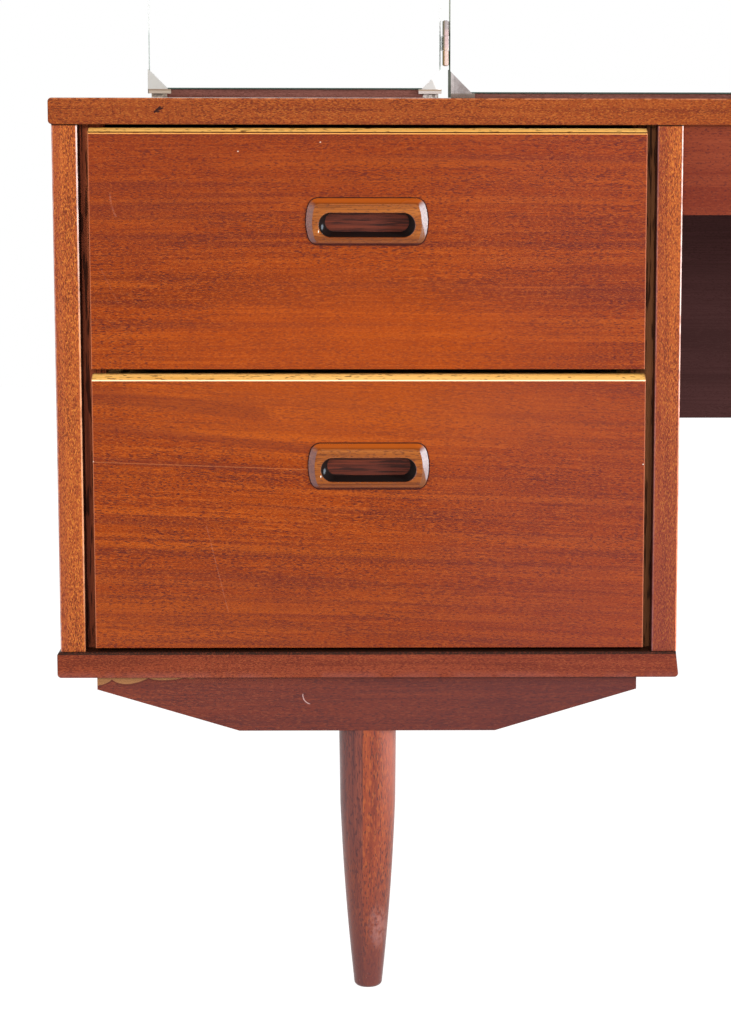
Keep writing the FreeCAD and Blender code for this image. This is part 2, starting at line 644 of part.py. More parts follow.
def mirrors():
    centre_z0 = TOP_HEIGHT + CENTRE_GLASS_GAP
    centre_z1 = MIRROR_TOP - CENTRE_GLASS_GAP
    wing_z0 = TOP_HEIGHT + WING_GLASS_GAP
    wing_z1 = MIRROR_TOP - (wing_z0 - WING_BOARD_BOTTOM)
    hinge_heights = (TOP_HEIGHT + HINGE_MIDDLE_FROM_END, MIRROR_TOP - HINGE_MIDDLE_FROM_END)

    screws = board_screws()
    centre_board = block(CENTRE_GLASS_OUT + GLASS_EDGE, -CENTRE_GLASS_OUT - GLASS_EDGE,
                         BOARD_FRONT, BOARD_BACK, TOP_HEIGHT, MIRROR_TOP)
    write("centre_mirror_board", drilled(centre_board, screws + [mirrored(s) for s in screws]))
    write("centre_mirror_glass", glass(CENTRE_GLASS_OUT, -CENTRE_GLASS_OUT, centre_z0, centre_z1))
    write("centre_mirror_clips", *pane_clips(CENTRE_GLASS_OUT, -CENTRE_GLASS_OUT, centre_z0, centre_z1,
                                             CENTRE_CLIP_LEG, TOP_HEIGHT))
    write_pair("wing_board", block(WING_GLASS_OUT + GLASS_EDGE, WING_GLASS_IN - GLASS_EDGE,
                                   BOARD_FRONT, BOARD_BACK, WING_BOARD_BOTTOM, MIRROR_TOP))
    write_pair("wing_glass", glass(WING_GLASS_OUT, WING_GLASS_IN, wing_z0, wing_z1))
    write_pair("wing_clips", *pane_clips(WING_GLASS_OUT, WING_GLASS_IN, wing_z0, wing_z1,
                                         WING_CLIP_LEG, WING_BOARD_BOTTOM))

    wing_leaves = [hinge_leaf(WING_GLASS_IN - GLASS_EDGE, 1, z, (1,)) for z in hinge_heights]
    centre_leaves = [hinge_leaf(CENTRE_GLASS_OUT + GLASS_EDGE, -1, z, (0, 2)) for z in hinge_heights]
    pins = [hinge_pin(z) for z in hinge_heights]
    write_pair("wing_hinge_leaves", *wing_leaves)
    write("centre_hinge_leaves", *(centre_leaves + [mirrored(s) for s in centre_leaves]))
    write("hinge_pins", *(pins + [mirrored(s) for s in pins]))


def main():
    os.makedirs("parts", exist_ok=True)
    carcass()
    kneehole()
    underframe()
    drawers()
    mirrors()
    mirror_posts()


main()
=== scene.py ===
import math

import bpy
from mathutils import Matrix, Vector


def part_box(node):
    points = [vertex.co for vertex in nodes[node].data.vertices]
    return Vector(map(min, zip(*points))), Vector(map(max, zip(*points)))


# Looks, studio and camera for the double-pedestal dressing desk with its folding triple mirror.
# Metres, in the frame of the CAD model: +X along the width, the drawers face -Y, +Z is up.

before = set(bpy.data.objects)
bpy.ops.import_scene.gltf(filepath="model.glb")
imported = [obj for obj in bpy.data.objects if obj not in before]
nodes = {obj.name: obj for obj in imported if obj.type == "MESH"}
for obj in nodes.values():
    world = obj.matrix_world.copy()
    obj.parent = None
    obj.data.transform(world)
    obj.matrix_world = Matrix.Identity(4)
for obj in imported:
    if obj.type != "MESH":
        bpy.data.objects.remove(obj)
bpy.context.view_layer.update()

MM = 0.001
X, Y, Z = 0, 1, 2
SIDES = ("left", "right")
ROWS = ("upper", "lower")
WHITE = (1.0, 1.0, 1.0, 1.0)
# places of the sockets of a mix node: for colours, and for numbers
COLOUR_UNDER, COLOUR_OVER, COLOUR_RESULT = 6, 7, 2
NUMBER_UNDER, NUMBER_OVER, NUMBER_RESULT = 2, 3, 0
# how far a drawn mark fades, as a share of its length at its ends and of its width at its sides
MARK_END_FADE, MARK_SIDE_FADE = 0.12, 0.7


def rgb(red, green, blue):
    """A display colour, 0 to 255, as the linear RGBA that sockets take."""
    def linear(level):
        c = level / 255
        return c / 12.92 if c <= 0.04045 else ((c + 0.055) / 1.055) ** 2.4
    return (linear(red), linear(green), linear(blue), 1.0)


# ---- node building --------------------------------------------------------------------------
class Shader:
    """One procedural material. Each method adds nodes and returns the socket with the result."""

    def __init__(self, name):
        self.material = bpy.data.materials.new(name)
        self.material.use_nodes = True
        self.tree = self.material.node_tree
        self.tree.nodes.clear()
        self.surface = self.add("ShaderNodeBsdfPrincipled")
        output = self.add("ShaderNodeOutputMaterial")
        self.tree.links.new(self.surface.outputs["BSDF"], output.inputs["Surface"])
        coords = self.add("ShaderNodeTexCoord")
        self.place = coords.outputs["Object"]
        self.at = self.split(self.place)
        self.facing = self.split(coords.outputs["Normal"])

    def add(self, kind, **settings):
        made = self.tree.nodes.new(kind)
        for name, value in settings.items():
            setattr(made, name, value)
        return made

    def feed(self, socket, value):
        if isinstance(value, bpy.types.NodeSocket):
            self.tree.links.new(value, socket)
        else:
            socket.default_value = value

    def split(self, vector):
        parts = self.add("ShaderNodeSeparateXYZ")
        self.feed(parts.inputs[0], vector)
        return parts.outputs

    def join(self, x, y, z):
        whole = self.add("ShaderNodeCombineXYZ")
        for socket, value in zip(whole.inputs, (x, y, z)):
            self.feed(socket, value)
        return whole.outputs[0]

    def calc(self, operation, a, b=0.0, c=0.0):
        made = self.add("ShaderNodeMath", operation=operation)
        for socket, value in zip(made.inputs, (a, b, c)):
            self.feed(socket, value)
        return made.outputs[0]

    def minus(self, a, b):
        return self.calc("SUBTRACT", a, b)

    def times(self, *factors):
        result = factors[0]
        for factor in factors[1:]:
            result = self.calc("MULTIPLY", result, factor)
        return result

    def either(self, a, b):
        return self.calc("MAXIMUM", a, b)

    def absolute(self, value):
        return self.calc("ABSOLUTE", value)

    def distance(self, a, b):
        """The length of a line that runs a one way and b square to it."""
        return self.calc("SQRT", self.calc("ADD", self.times(a, a), self.times(b, b)))

    def move(self, vector, offset):
        made = self.add("ShaderNodeVectorMath", operation="ADD")
        self.feed(made.inputs[0], vector)
        self.feed(made.inputs[1], offset)
        return made.outputs[0]

    def scale(self, vector, factors):
        made = self.add("ShaderNodeVectorMath", operation="MULTIPLY")
        self.feed(made.inputs[0], vector)
        self.feed(made.inputs[1], factors)
        return made.outputs[0]

    def noise(self, vector, detail=1.0, roughness=0.5, output="Fac"):
        made = self.add("ShaderNodeTexNoise", noise_dimensions="3D")
        self.feed(made.inputs["Vector"], vector)
        self.feed(made.inputs["Scale"], 1.0)
        self.feed(made.inputs["Detail"], detail)
        self.feed(made.inputs["Roughness"], roughness)
        return made.outputs[output]

    def speckle(self, per_metre, low, high, detail=2.0):
        """A cloud that is 0 below low and 1 above high, equal in all directions."""
        cloud = self.noise(self.scale(self.place, (per_metre,) * 3), detail, 0.6)
        return self.step(cloud, low, high)

    def step(self, value, low, high, out_low=0.0, out_high=1.0):
        """A smooth step from out_low at low to out_high at high."""
        made = self.add("ShaderNodeMapRange", interpolation_type="SMOOTHSTEP")
        for name, number in (("Value", value), ("From Min", low), ("From Max", high),
                             ("To Min", out_low), ("To Max", out_high)):
            self.feed(made.inputs[name], number)
        return made.outputs["Result"]

    def band(self, value, low, high, soft):
        """1 between low and high, falling to 0 over soft on both sides."""
        rise = self.step(value, low - soft, low)
        fall = self.step(value, high, high + soft, 1.0, 0.0)
        return self.times(rise, fall)

    def blob(self, centre, radii):
        """1 at a point (x, z), falling to 0 at the given distances along x and z."""
        dx = self.calc("DIVIDE", self.minus(self.at[X], centre[0]), radii[0])
        dz = self.calc("DIVIDE", self.minus(self.at[Z], centre[1]), radii[1])
        square = self.calc("ADD", self.times(dx, dx), self.times(dz, dz))
        return self.step(square, 0.0, 1.0, 1.0, 0.0)

    def line(self, start, end, width, bow=0.0):
        """A mark on an upright face from start to end in (x, z), bowed sideways by bow."""
        run = (end[0] - start[0], end[1] - start[1])
        length = math.hypot(*run)
        unit = (run[0] / length, run[1] / length)
        dx = self.minus(self.at[X], start[0])
        dz = self.minus(self.at[Z], start[1])
        far = self.calc("ADD", self.times(dx, unit[0]), self.times(dz, unit[1]))
        off = self.minus(self.times(dx, unit[1]), self.times(dz, unit[0]))
        if bow:
            share = self.calc("DIVIDE", far, length)
            arc = self.times(share, self.minus(1.0, share), 4 * bow)
            off = self.minus(off, arc)
        return self.times(self.band(far, 0.0, length, length * MARK_END_FADE),
                          self.band(off, -width / 2, width / 2, width * MARK_SIDE_FADE))

    def mix(self, factor, under, over):
        """The mix of two colours."""
        made = self.add("ShaderNodeMix", data_type="RGBA")
        self.feed(made.inputs["Factor"], factor)
        self.feed(made.inputs[COLOUR_UNDER], under)
        self.feed(made.inputs[COLOUR_OVER], over)
        return made.outputs[COLOUR_RESULT]

    def blend(self, factor, under, over):
        """The mix of two numbers."""
        made = self.add("ShaderNodeMix", data_type="FLOAT")
        self.feed(made.inputs["Factor"], factor)
        self.feed(made.inputs[NUMBER_UNDER], under)
        self.feed(made.inputs[NUMBER_OVER], over)
        return made.outputs[NUMBER_RESULT]

    def bump(self, height, strength, distance):
        made = self.add("ShaderNodeBump")
        self.feed(made.inputs["Height"], height)
        self.feed(made.inputs["Strength"], strength)
        self.feed(made.inputs["Distance"], distance)
        self.feed(self.surface.inputs["Normal"], made.outputs["Normal"])

    def finish(self, colour, roughness, **uniform):
        self.feed(self.surface.inputs["Base Color"], colour)
        self.feed(self.surface.inputs["Roughness"], roughness)
        for name, value in uniform.items():
            self.feed(self.surface.inputs[name.replace("_", " ")], value)
        return self.material


# ---- wood figure ----------------------------------------------------------------------------
class Grain:
    """Noise drawn out along one axis: the figure of the wood in one shader."""

    def __init__(self, shader, axis, seed, wander=4 * MM, slope=0.0):
        self.shader = shader
        self.axis = axis
        place = shader.place
        if slope:
            lifted = shader.calc("MULTIPLY_ADD", shader.at[X], slope, shader.at[Z])
            place = shader.join(shader.at[X], shader.at[Y], lifted)
        start = shader.move(place, (seed * 1.7, seed * 2.3, seed * 3.1))
        drift = shader.noise(shader.scale(start, self.along(2.6, 6.0)), 1.0, 0.5, "Color")
        centred = shader.move(drift, (-0.5, -0.5, -0.5))
        self.start = shader.move(start, shader.scale(centred, self.along(0.0, wander * 2)))

    def along(self, lengthwise, across):
        return tuple(lengthwise if i == self.axis else across for i in (X, Y, Z))

    def figure(self, lengthwise, across, detail=1.0, roughness=0.5):
        """Noise with so many cells per metre along the grain and across it."""
        return self.shader.noise(self.shader.scale(self.start, self.along(lengthwise, across)),
                                 detail, roughness)

    def body(self, dark, middle, light, bands=(1.1, 26), streaks=(3.5, 170), band_share=0.5):
        """The ground colour: ribbon bands with narrow streaks in them."""
        s = self.shader
        band = self.figure(bands[0], bands[1], 1.0)
        streak = self.figure(streaks[0], streaks[1], 3.0, 0.6)
        tone = s.calc("MULTIPLY_ADD", s.minus(band, streak), band_share, streak)
        colour = s.mix(s.step(tone, 0.34, 0.5), dark, middle)
        return s.mix(s.step(tone, 0.5, 0.66), colour, light)

    def tint(self, colour, tone, strength, lengthwise, across, low=0.42, high=0.66, detail=2.0):
        """Lays tone over the colour where a drawn-out noise is high."""
        cloud = self.figure(lengthwise, across, detail, 0.6)
        return self.shader.mix(self.shader.step(cloud, low, high, 0.0, strength), colour, tone)

    def pores(self, colour, dark, strength, lengthwise=420, across=1300, cut=0.55):
        """Short dark dashes; returns the colour and the pore mask."""
        s = self.shader
        dash = self.figure(lengthwise, across, 1.0)
        crowd = self.figure(12, 60, 1.0)
        limit = s.step(crowd, 0.3, 0.7, cut + 0.035, cut - 0.035)
        depth = s.step(s.minus(dash, limit), 0.0, 0.1)
        return s.mix(s.times(depth, strength), colour, dark), depth


def varnish(shader, grain, colour, pore, roughness, relief=0.1 * MM, specular=0.06):
    """Worn satin finish over the wood: its sheen varies, and the pores are open."""
    wear = shader.noise(shader.scale(shader.place, (9.0, 9.0, 9.0)), 3.0, 0.6)
    sheen = shader.calc("ADD", roughness, shader.step(wear, 0.3, 0.7, -0.06, 0.08))
    fibre = grain.figure(16, 420, 2.0)
    height = shader.calc("MULTIPLY_ADD", pore, -1.0, shader.times(fibre, 0.35))
    shader.bump(height, 0.6, relief)
    return shader.finish(colour, sheen, Specular_IOR_Level=specular)


# ---- veneered boards ------------------------------------------------------------------------
VENEER = (rgb(102, 38, 11), rgb(118, 46, 10), rgb(132, 58, 12))
PURPLE_PORE = rgb(52, 20, 24)
GLINT = rgb(160, 82, 30)
# pale tone of painted highlights on arrises, and of the chipped spots low on the legs
HIGHLIGHT_AND_CHIP_PALE = rgb(224, 196, 190)
# near-black painted shade, inside the pedestals and under the top's front edge
PAINTED_SHADE_DARK = rgb(22, 12, 9)
GLUE_LINE = rgb(44, 20, 16)


def face_veneer(shader, axis, seed, tones=VENEER, slope=0.0):
    """Red-brown veneer: ribbon bands, thin lines, cross mottle, dense short pores."""
    grain = Grain(shader, axis, seed, slope=slope)
    colour = grain.body(*tones)
    colour = grain.tint(colour, rgb(78, 29, 19), 0.5, 12.0, 760, 0.5, 0.68)
    colour = grain.tint(colour, rgb(152, 70, 22), 0.45, 14.0, 820, 0.52, 0.7)
    colour = grain.tint(colour, rgb(92, 33, 17), 0.3, 55, 22, 0.45, 0.7)
    colour = grain.tint(colour, rgb(82, 31, 21), 0.5, 2.2, 130, 0.5, 0.64)
    colour = grain.tint(colour, rgb(146, 66, 15), 0.5, 2.8, 150, 0.52, 0.66)
    colour = grain.tint(colour, GLINT, 0.4, 420, 1600, 0.5, 0.64, 1.0)
    colour, pore = grain.pores(colour, PURPLE_PORE, 0.72, 300, 1700)
    colour = grain.tint(colour, PURPLE_PORE, 0.25, 800, 1800, 0.5, 0.64, 1.0)
    return grain, colour, pore


def lipping(shader, axis, seed, tones, glint, glint_strength):
    """Solid edging: short bright flecks and short dark dashes, all along the grain."""
    grain = Grain(shader, axis, seed, wander=3 * MM)
    colour = grain.body(*tones, bands=(1.4, 70), streaks=(9, 320), band_share=0.45)
    colour = grain.tint(colour, glint, glint_strength, 480, 1450, 0.5, 0.64, 1.0)
    return grain.pores(colour, rgb(72, 28, 20), 0.7, 440, 1400, 0.53)


LIPPING_DEPTH = 5 * MM


def lipped_board(name, axis, seed, front, lip):
    """A veneered board whose front edge carries a solid lipping. lip gives its look."""
    s = Shader(name)
    grain, colour, pore = face_veneer(s, axis, seed)
    depth = s.minus(s.at[Y], front)
    edge = s.step(depth, LIPPING_DEPTH - 0.2 * MM, LIPPING_DEPTH + 0.2 * MM, 1.0, 0.0)
    lip_colour, lip_pore = lipping(s, lip["axis"], seed + 0.5, lip["tones"],
                                   lip["glint"], lip["strength"])
    colour = s.mix(edge, colour, lip_colour)
    pore = s.blend(edge, pore, lip_pore)
    glue = s.band(depth, LIPPING_DEPTH - 0.3 * MM, LIPPING_DEPTH + 0.1 * MM, 0.25 * MM)
    colour = s.mix(s.times(glue, 0.6), colour, GLUE_LINE)
    return s, grain, colour, pore


SLAB_LIP = {"axis": X, "tones": (rgb(93, 38, 21), rgb(113, 51, 22), rgb(127, 61, 26)),
            "glint": rgb(150, 86, 36), "strength": 0.5}
BASE_LIP = {"axis": X, "tones": (rgb(86, 35, 22), rgb(104, 45, 27), rgb(117, 54, 33)),
            "glint": rgb(134, 70, 40), "strength": 0.45}
PANEL_LIP = {"axis": Z, "tones": (rgb(112, 50, 27), rgb(134, 65, 31), rgb(151, 79, 36)),
             "glint": rgb(200, 124, 50), "strength": 0.42}


MOTTLE_START, MOTTLE_END = 40 * MM, 115 * MM
MARK_FROM_END, MARK_BELOW_TOP = 83.4 * MM, 9.2 * MM


def desk_top():
    """The long top: a painted highlight lies along its upper arris, and its left end has a mottle with a
    dark mark.
    """
    low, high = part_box("desk_top")
    s, grain, colour, pore = lipped_board("top_veneer", X, 1, low.y, SLAB_LIP)
    # painted highlight along the upper front arris, broken into patches
    top_arris_highlight = s.times(s.band(s.at[Z], high.z - 0.9 * MM, high.z, 0.3 * MM),
                          s.band(s.at[Y], low.y - 1 * MM, low.y + 1.0 * MM, 0.3 * MM))
    colour = s.mix(s.times(top_arris_highlight, s.speckle(160, 0.35, 0.6), 0.35), colour, rgb(196, 130, 92))
    left = s.minus(s.at[X], low.x)
    mottle = s.noise(s.scale(s.place, (520, 40, 60)), 2.0, 0.6)
    zone = s.band(left, MOTTLE_START, MOTTLE_END, 12 * MM)
    colour = s.mix(s.times(zone, s.step(mottle, 0.5, 0.68), 0.4), colour, rgb(74, 30, 18))
    colour = s.mix(s.times(forked_mark(s, low.x + MARK_FROM_END, high.z - MARK_BELOW_TOP), 0.95),
                   colour, rgb(24, 14, 18))
    return varnish(s, grain, colour, pore, 0.36)


def forked_mark(s, x, z):
    """Mask of a knot at (x, z) from which a stroke and a branch run up to the right."""
    stroke = s.line((x - 2.6 * MM, z - 1.6 * MM), (x + 2 * MM, z + 2.4 * MM), 0.9 * MM)
    branch = s.line((x + 0.5 * MM, z + 0.2 * MM), (x + 4 * MM, z + 1.6 * MM), 0.7 * MM)
    knot = s.blob((x, z - 1 * MM), (2.2 * MM, 1.2 * MM))
    return s.either(s.either(stroke, branch), knot)


def base_board(side, seed):
    """The board under a pedestal: a painted reflection of the floor low on its edge, a rough painted
    shadow along its top where the panels stand on it.
    """
    node = side + "_base_board"
    low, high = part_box(node)
    s, grain, colour, pore = lipped_board(node + "_wood", X, seed, low.y, BASE_LIP)
    # painted reflection of the pale floor, low on the edge
    pale_patch = s.times(s.step(s.at[Z], low.z, low.z + 7 * MM, 0.3, 0.0), s.speckle(40, 0.35, 0.6))
    colour = s.mix(pale_patch, colour, rgb(116, 70, 66))
    colour = s.mix(s.step(s.at[X], low.x, high.x, 0.0, 0.2), colour, rgb(84, 37, 38))
    # painted shadow of the gap under the side panels, along the top of the edge
    joint_shadow = s.step(s.at[Z], high.z - 2.6 * MM, high.z - 1.8 * MM)
    rough = s.calc("MULTIPLY_ADD", s.speckle(700, 0.3, 0.55), 0.4, 0.55)
    colour = s.mix(s.times(joint_shadow, rough), colour, rgb(30, 20, 16))
    return varnish(s, grain, colour, pore, 0.36)


def side_panel(node, seed):
    """Upright side: lipped front edge with painted highlights on its arrises, painted shade inside the
    pedestal.
    """
    low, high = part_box(node)
    s, grain, colour, pore = lipped_board(node + "_wood", Z, seed, low.y, PANEL_LIP)
    left_half = low.x < 0
    outer = "outer" in node
    inward = 1.0 if left_half == outer else -1.0
    inner_x = high.x if inward > 0 else low.x
    outer_x = low.x if inward > 0 else high.x
    # painted shade on the faces that look into the pedestal
    colour = s.mix(s.step(s.times(s.facing[X], inward), 0.5, 0.8), colour, PAINTED_SHADE_DARK)
    front = s.step(s.minus(s.at[Y], low.y), 0.6 * MM, 1.2 * MM, 1.0, 0.0)
    near = s.absolute(s.minus(s.at[X], inner_x))
    far = s.absolute(s.minus(s.at[X], outer_x))
    # breaks up the painted highlights on the front arrises into patches
    patchy = s.calc("MULTIPLY_ADD", s.speckle(90, 0.3, 0.6), 0.5, 0.4)
    near_edge = s.times(s.step(near, 0.8 * MM, 1.4 * MM, 1.0, 0.0), front, patchy)
    far_edge = s.times(s.step(far, 0.7 * MM, 1.2 * MM, 1.0, 0.0), front, patchy)
    if outer:
        # darker towards the outer arris; a painted highlight lies on the inner arris, salmon lower down
        # and paler near the top, faint near the floor, and a weaker one on the outer arris
        colour = s.mix(s.step(far, 2 * MM, 10 * MM, 0.45, 0.0), colour, rgb(104, 46, 36))
        edge_highlight = s.mix(s.step(s.at[Z], high.z - 180 * MM, high.z - 40 * MM), rgb(214, 150, 112), HIGHLIGHT_AND_CHIP_PALE)
        foot = s.step(s.at[Z], low.z + 10 * MM, low.z + 80 * MM, 0.2, 1.0)
        near_edge = s.times(near_edge, foot)
        colour = s.mix(s.times(near_edge, 0.8), colour, edge_highlight)
        colour = s.mix(s.times(far_edge, 0.25), colour, HIGHLIGHT_AND_CHIP_PALE)
    else:
        # painted shade: darker towards the drawers and towards the floor; a painted reflection lies on the
        # arris by the drawers and a painted highlight on the arris at the kneehole
        colour = s.mix(s.step(near, 2 * MM, 12 * MM, 0.3, 0.0), colour, rgb(98, 40, 32))
        colour = s.mix(s.step(s.at[Z], low.z, high.z - 100 * MM, 0.6, 0.1), colour, rgb(88, 38, 38))
        edge_highlight = s.mix(s.step(s.at[Z], low.z + 100 * MM, high.z - 100 * MM), rgb(226, 138, 104), HIGHLIGHT_AND_CHIP_PALE)
        colour = s.mix(s.times(near_edge, 0.3), colour, rgb(132, 100, 106))
        colour = s.mix(far_edge, colour, edge_highlight)
    # painted shadow of the top's front edge: a thin dark line along the top of the panel
    joint_shadow = s.step(s.at[Z], high.z - 1.3 * MM, high.z - 0.7 * MM)
    colour = s.mix(s.times(joint_shadow, 0.9), colour, PAINTED_SHADE_DARK)
    return varnish(s, grain, colour, pore, 0.34)


# ---- drawers --------------------------------------------------------------------------------
# pale core wood on the bevelled tops, made paler than the wood is as painted light for the narrow gaps
# they lie in
CORE = {"upper": (rgb(236, 172, 78), rgb(246, 186, 92), rgb(250, 200, 112)),
        "lower": (rgb(220, 162, 78), rgb(238, 184, 100), rgb(248, 204, 124))}
# clouds on the faces: middle and reach as shares of the face, strength, tone
CLOUDS = {"upper": (((0.1, 0.9), (0.9, 0.6), 0.35, rgb(97, 37, 22)),
                    ((0.5, 0.05), (0.5, 0.5), 0.45, rgb(136, 57, 15)),
                    ((1.0, 0.7), (0.45, 1.2), 0.25, rgb(94, 41, 40))),
          "lower": (((0.5, 0.9), (0.6, 0.25), 0.45, rgb(138, 62, 20)),
                    ((0.5, -0.05), (0.9, 0.55), 0.35, rgb(96, 40, 28)),
                    ((1.0, 0.5), (0.5, 1.2), 0.32, rgb(96, 44, 42)))}
# dark lines of figure on the faces: start, end and thickness as shares of the face
DARK_LINES = {"upper": (),
              "lower": (((0.0, 0.93), (0.3, 0.86), 0.03),
                        ((0.02, 0.81), (0.45, 0.72), 0.02),
                        ((0.05, 0.69), (0.3, 0.66), 0.015))}
FIGURE_SLOPE = {"upper": 0.0, "lower": 0.04}
SEAM_STRENGTH = {"upper": 1.0, "lower": 0.1}
# painted highlight on each face's top arris: strength and tone for each row
ARRIS_HIGHLIGHT = {"upper": (0.6, rgb(226, 156, 82)), "lower": (0.95, rgb(250, 214, 172))}
BEVEL_RISE = 3.9 * MM
PULL_END_RADIUS = 40 * MM
PULL_CORNER = 8 * MM
PALE_SCRATCH = rgb(196, 140, 120)
# white of the chipped spots on the drawer faces and of a painted glint on the pulls
CHIP_AND_GLINT_WHITE = rgb(246, 232, 214)


def drawer_front(side, row, seed):
    """Veneered face, pale core on the bevelled top partly as painted light, a painted shadow round the
    pull, a painted highlight on the face's top arris, old scratches.
    """
    node = f"{side}_{row}_drawer_front"
    low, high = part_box(node)
    pull_low, pull_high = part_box(f"{side}_{row}_drawer_pull")
    s = Shader(node + "_wood")
    grain, colour, pore = face_veneer(s, X, seed, slope=FIGURE_SLOPE[row])
    width = high.x - low.x
    height = high.z - low.z

    def at(u, v):
        """A place on the face: u from its left edge, v from its bottom, 0 to 1."""
        return (low.x + u * width, low.z + v * height)

    for middle, reach, strength, tone in CLOUDS[row]:
        radii = (reach[0] * width, reach[1] * height)
        colour = s.mix(s.times(s.blob(at(*middle), radii), strength), colour, tone)
    for start, end, thickness in DARK_LINES[row]:
        dark_line = s.line(at(*start), at(*end), thickness * height)
        colour = s.mix(s.times(dark_line, 0.4), colour, rgb(84, 32, 22))
    for mask, tone, strength in scratches(s, row, at):
        colour = s.mix(s.times(mask, strength), colour, tone)

    # painted shadow: a dark line where the pull meets the face
    pull_x = (pull_low.x + pull_high.x) / 2
    pull_z = (pull_low.z + pull_high.z) / 2
    half_x = (pull_high.x - pull_low.x) / 2
    half_z = (pull_high.z - pull_low.z) / 2
    gap = pull_gap(s, pull_x, pull_z, half_x, half_z)
    colour = s.mix(s.step(gap, 0.5 * MM, 1.2 * MM, 0.9, 0.0), colour, rgb(34, 16, 16))

    up = s.step(s.facing[Z], 0.6, 0.8)
    core = Grain(s, X, seed + 0.3)
    pale = core.body(*CORE[row], bands=(4, 70), streaks=(12, 380))
    pale = core.pores(pale, rgb(96, 54, 24), 0.85, 160, 620, 0.6)[0]
    colour = s.mix(up, colour, pale)
    # the veneer ends in a dark seam just behind the face's top arris, which carries a painted highlight
    behind = s.minus(s.at[Y], low.y)
    seam = s.times(up, s.band(behind, 1.0 * MM, 2.6 * MM, 0.4 * MM))
    colour = s.mix(s.times(seam, SEAM_STRENGTH[row]), colour, rgb(74, 34, 18))
    face_top = high.z - BEVEL_RISE
    arris = s.times(s.step(behind, 0.5 * MM, 0.9 * MM, 1.0, 0.0),
                    s.step(s.at[Z], face_top - 0.8 * MM, face_top - 0.3 * MM))
    highlight_strength, highlight_tone = ARRIS_HIGHLIGHT[row]
    colour = s.mix(s.times(arris, highlight_strength), colour, highlight_tone)
    side_gap = s.minus(width / 2, s.absolute(s.minus(s.at[X], (low.x + high.x) / 2)))
    side_edge = s.step(side_gap, 0.4 * MM, 1.0 * MM, 0.45, 0.0)
    colour = s.mix(side_edge, colour, rgb(176, 106, 76))
    return varnish(s, grain, colour, pore, 0.36)


def pull_gap(s, middle_x, middle_z, half_x, half_z):
    """How far a place on the face is from the pull's outline: arched ends and round corners."""
    inner = PULL_END_RADIUS - PULL_CORNER
    corner_z = half_z - PULL_CORNER
    corner_x = half_x - PULL_END_RADIUS + math.sqrt(inner * inner - corner_z * corner_z)
    off_x = s.absolute(s.minus(s.at[X], middle_x))
    off_z = s.absolute(s.minus(s.at[Z], middle_z))
    past_x = s.either(s.minus(off_x, corner_x), 0.0)
    past_z = s.either(s.minus(off_z, corner_z), 0.0)
    corner_reach = s.distance(past_x, past_z)
    arc_x = s.minus(off_x, half_x - PULL_END_RADIUS)
    arc_reach = s.distance(arc_x, off_z)
    past_arc = s.minus(arc_reach, PULL_END_RADIUS)
    past_arc = s.either(past_arc, s.minus(off_z, PULL_END_RADIUS * corner_z / inner))
    return s.calc("MINIMUM", s.minus(corner_reach, PULL_CORNER), past_arc)


def scratches(s, row, at):
    """Old wear on one drawer face: (mask, tone, strength) of each mark. at(u, v) gives a place."""
    broken = s.speckle(420, 0.35, 0.55)
    if row == "upper":
        marks = [
            (s.line(at(0.039, 0.727), at(0.048, 0.64), 0.8 * MM, 1.0 * MM), PALE_SCRATCH, 0.1),
            (s.line(at(0.02, 0.42), at(0.05, 0.28), 0.6 * MM), PALE_SCRATCH, 0.04),
        ]
        dots = (at(0.268, 0.905), at(0.415, 0.943))
    else:
        marks = [
            (s.line(at(0.205, 0.445), at(0.24, 0.155), 0.4 * MM), PALE_SCRATCH, 0.1),
            (s.line(at(0.082, 0.305), at(0.094, 0.33), 0.9 * MM), rgb(60, 26, 26), 0.7),
        ]
        dots = (at(0.001, 0.687), at(0.997, 0.676))
    marks = [(s.times(mask, broken), tone, strength) for mask, tone, strength in marks]
    if row == "lower":
        marks.append((s.line(at(0.005, 0.685), at(0.42, 0.655), 0.4 * MM), rgb(196, 122, 72), 0.2))
    for dot in dots:
        marks.append((s.blob(dot, (0.8 * MM, 0.6 * MM)), CHIP_AND_GLINT_WHITE, 0.5))
    return marks


# the pocket is a slot with round ends, a little below the middle of the pull
POCKET_DROP = 2.8 * MM
POCKET_HALF_LENGTH = 37.3 * MM
POCKET_RADIUS = 9.45 * MM


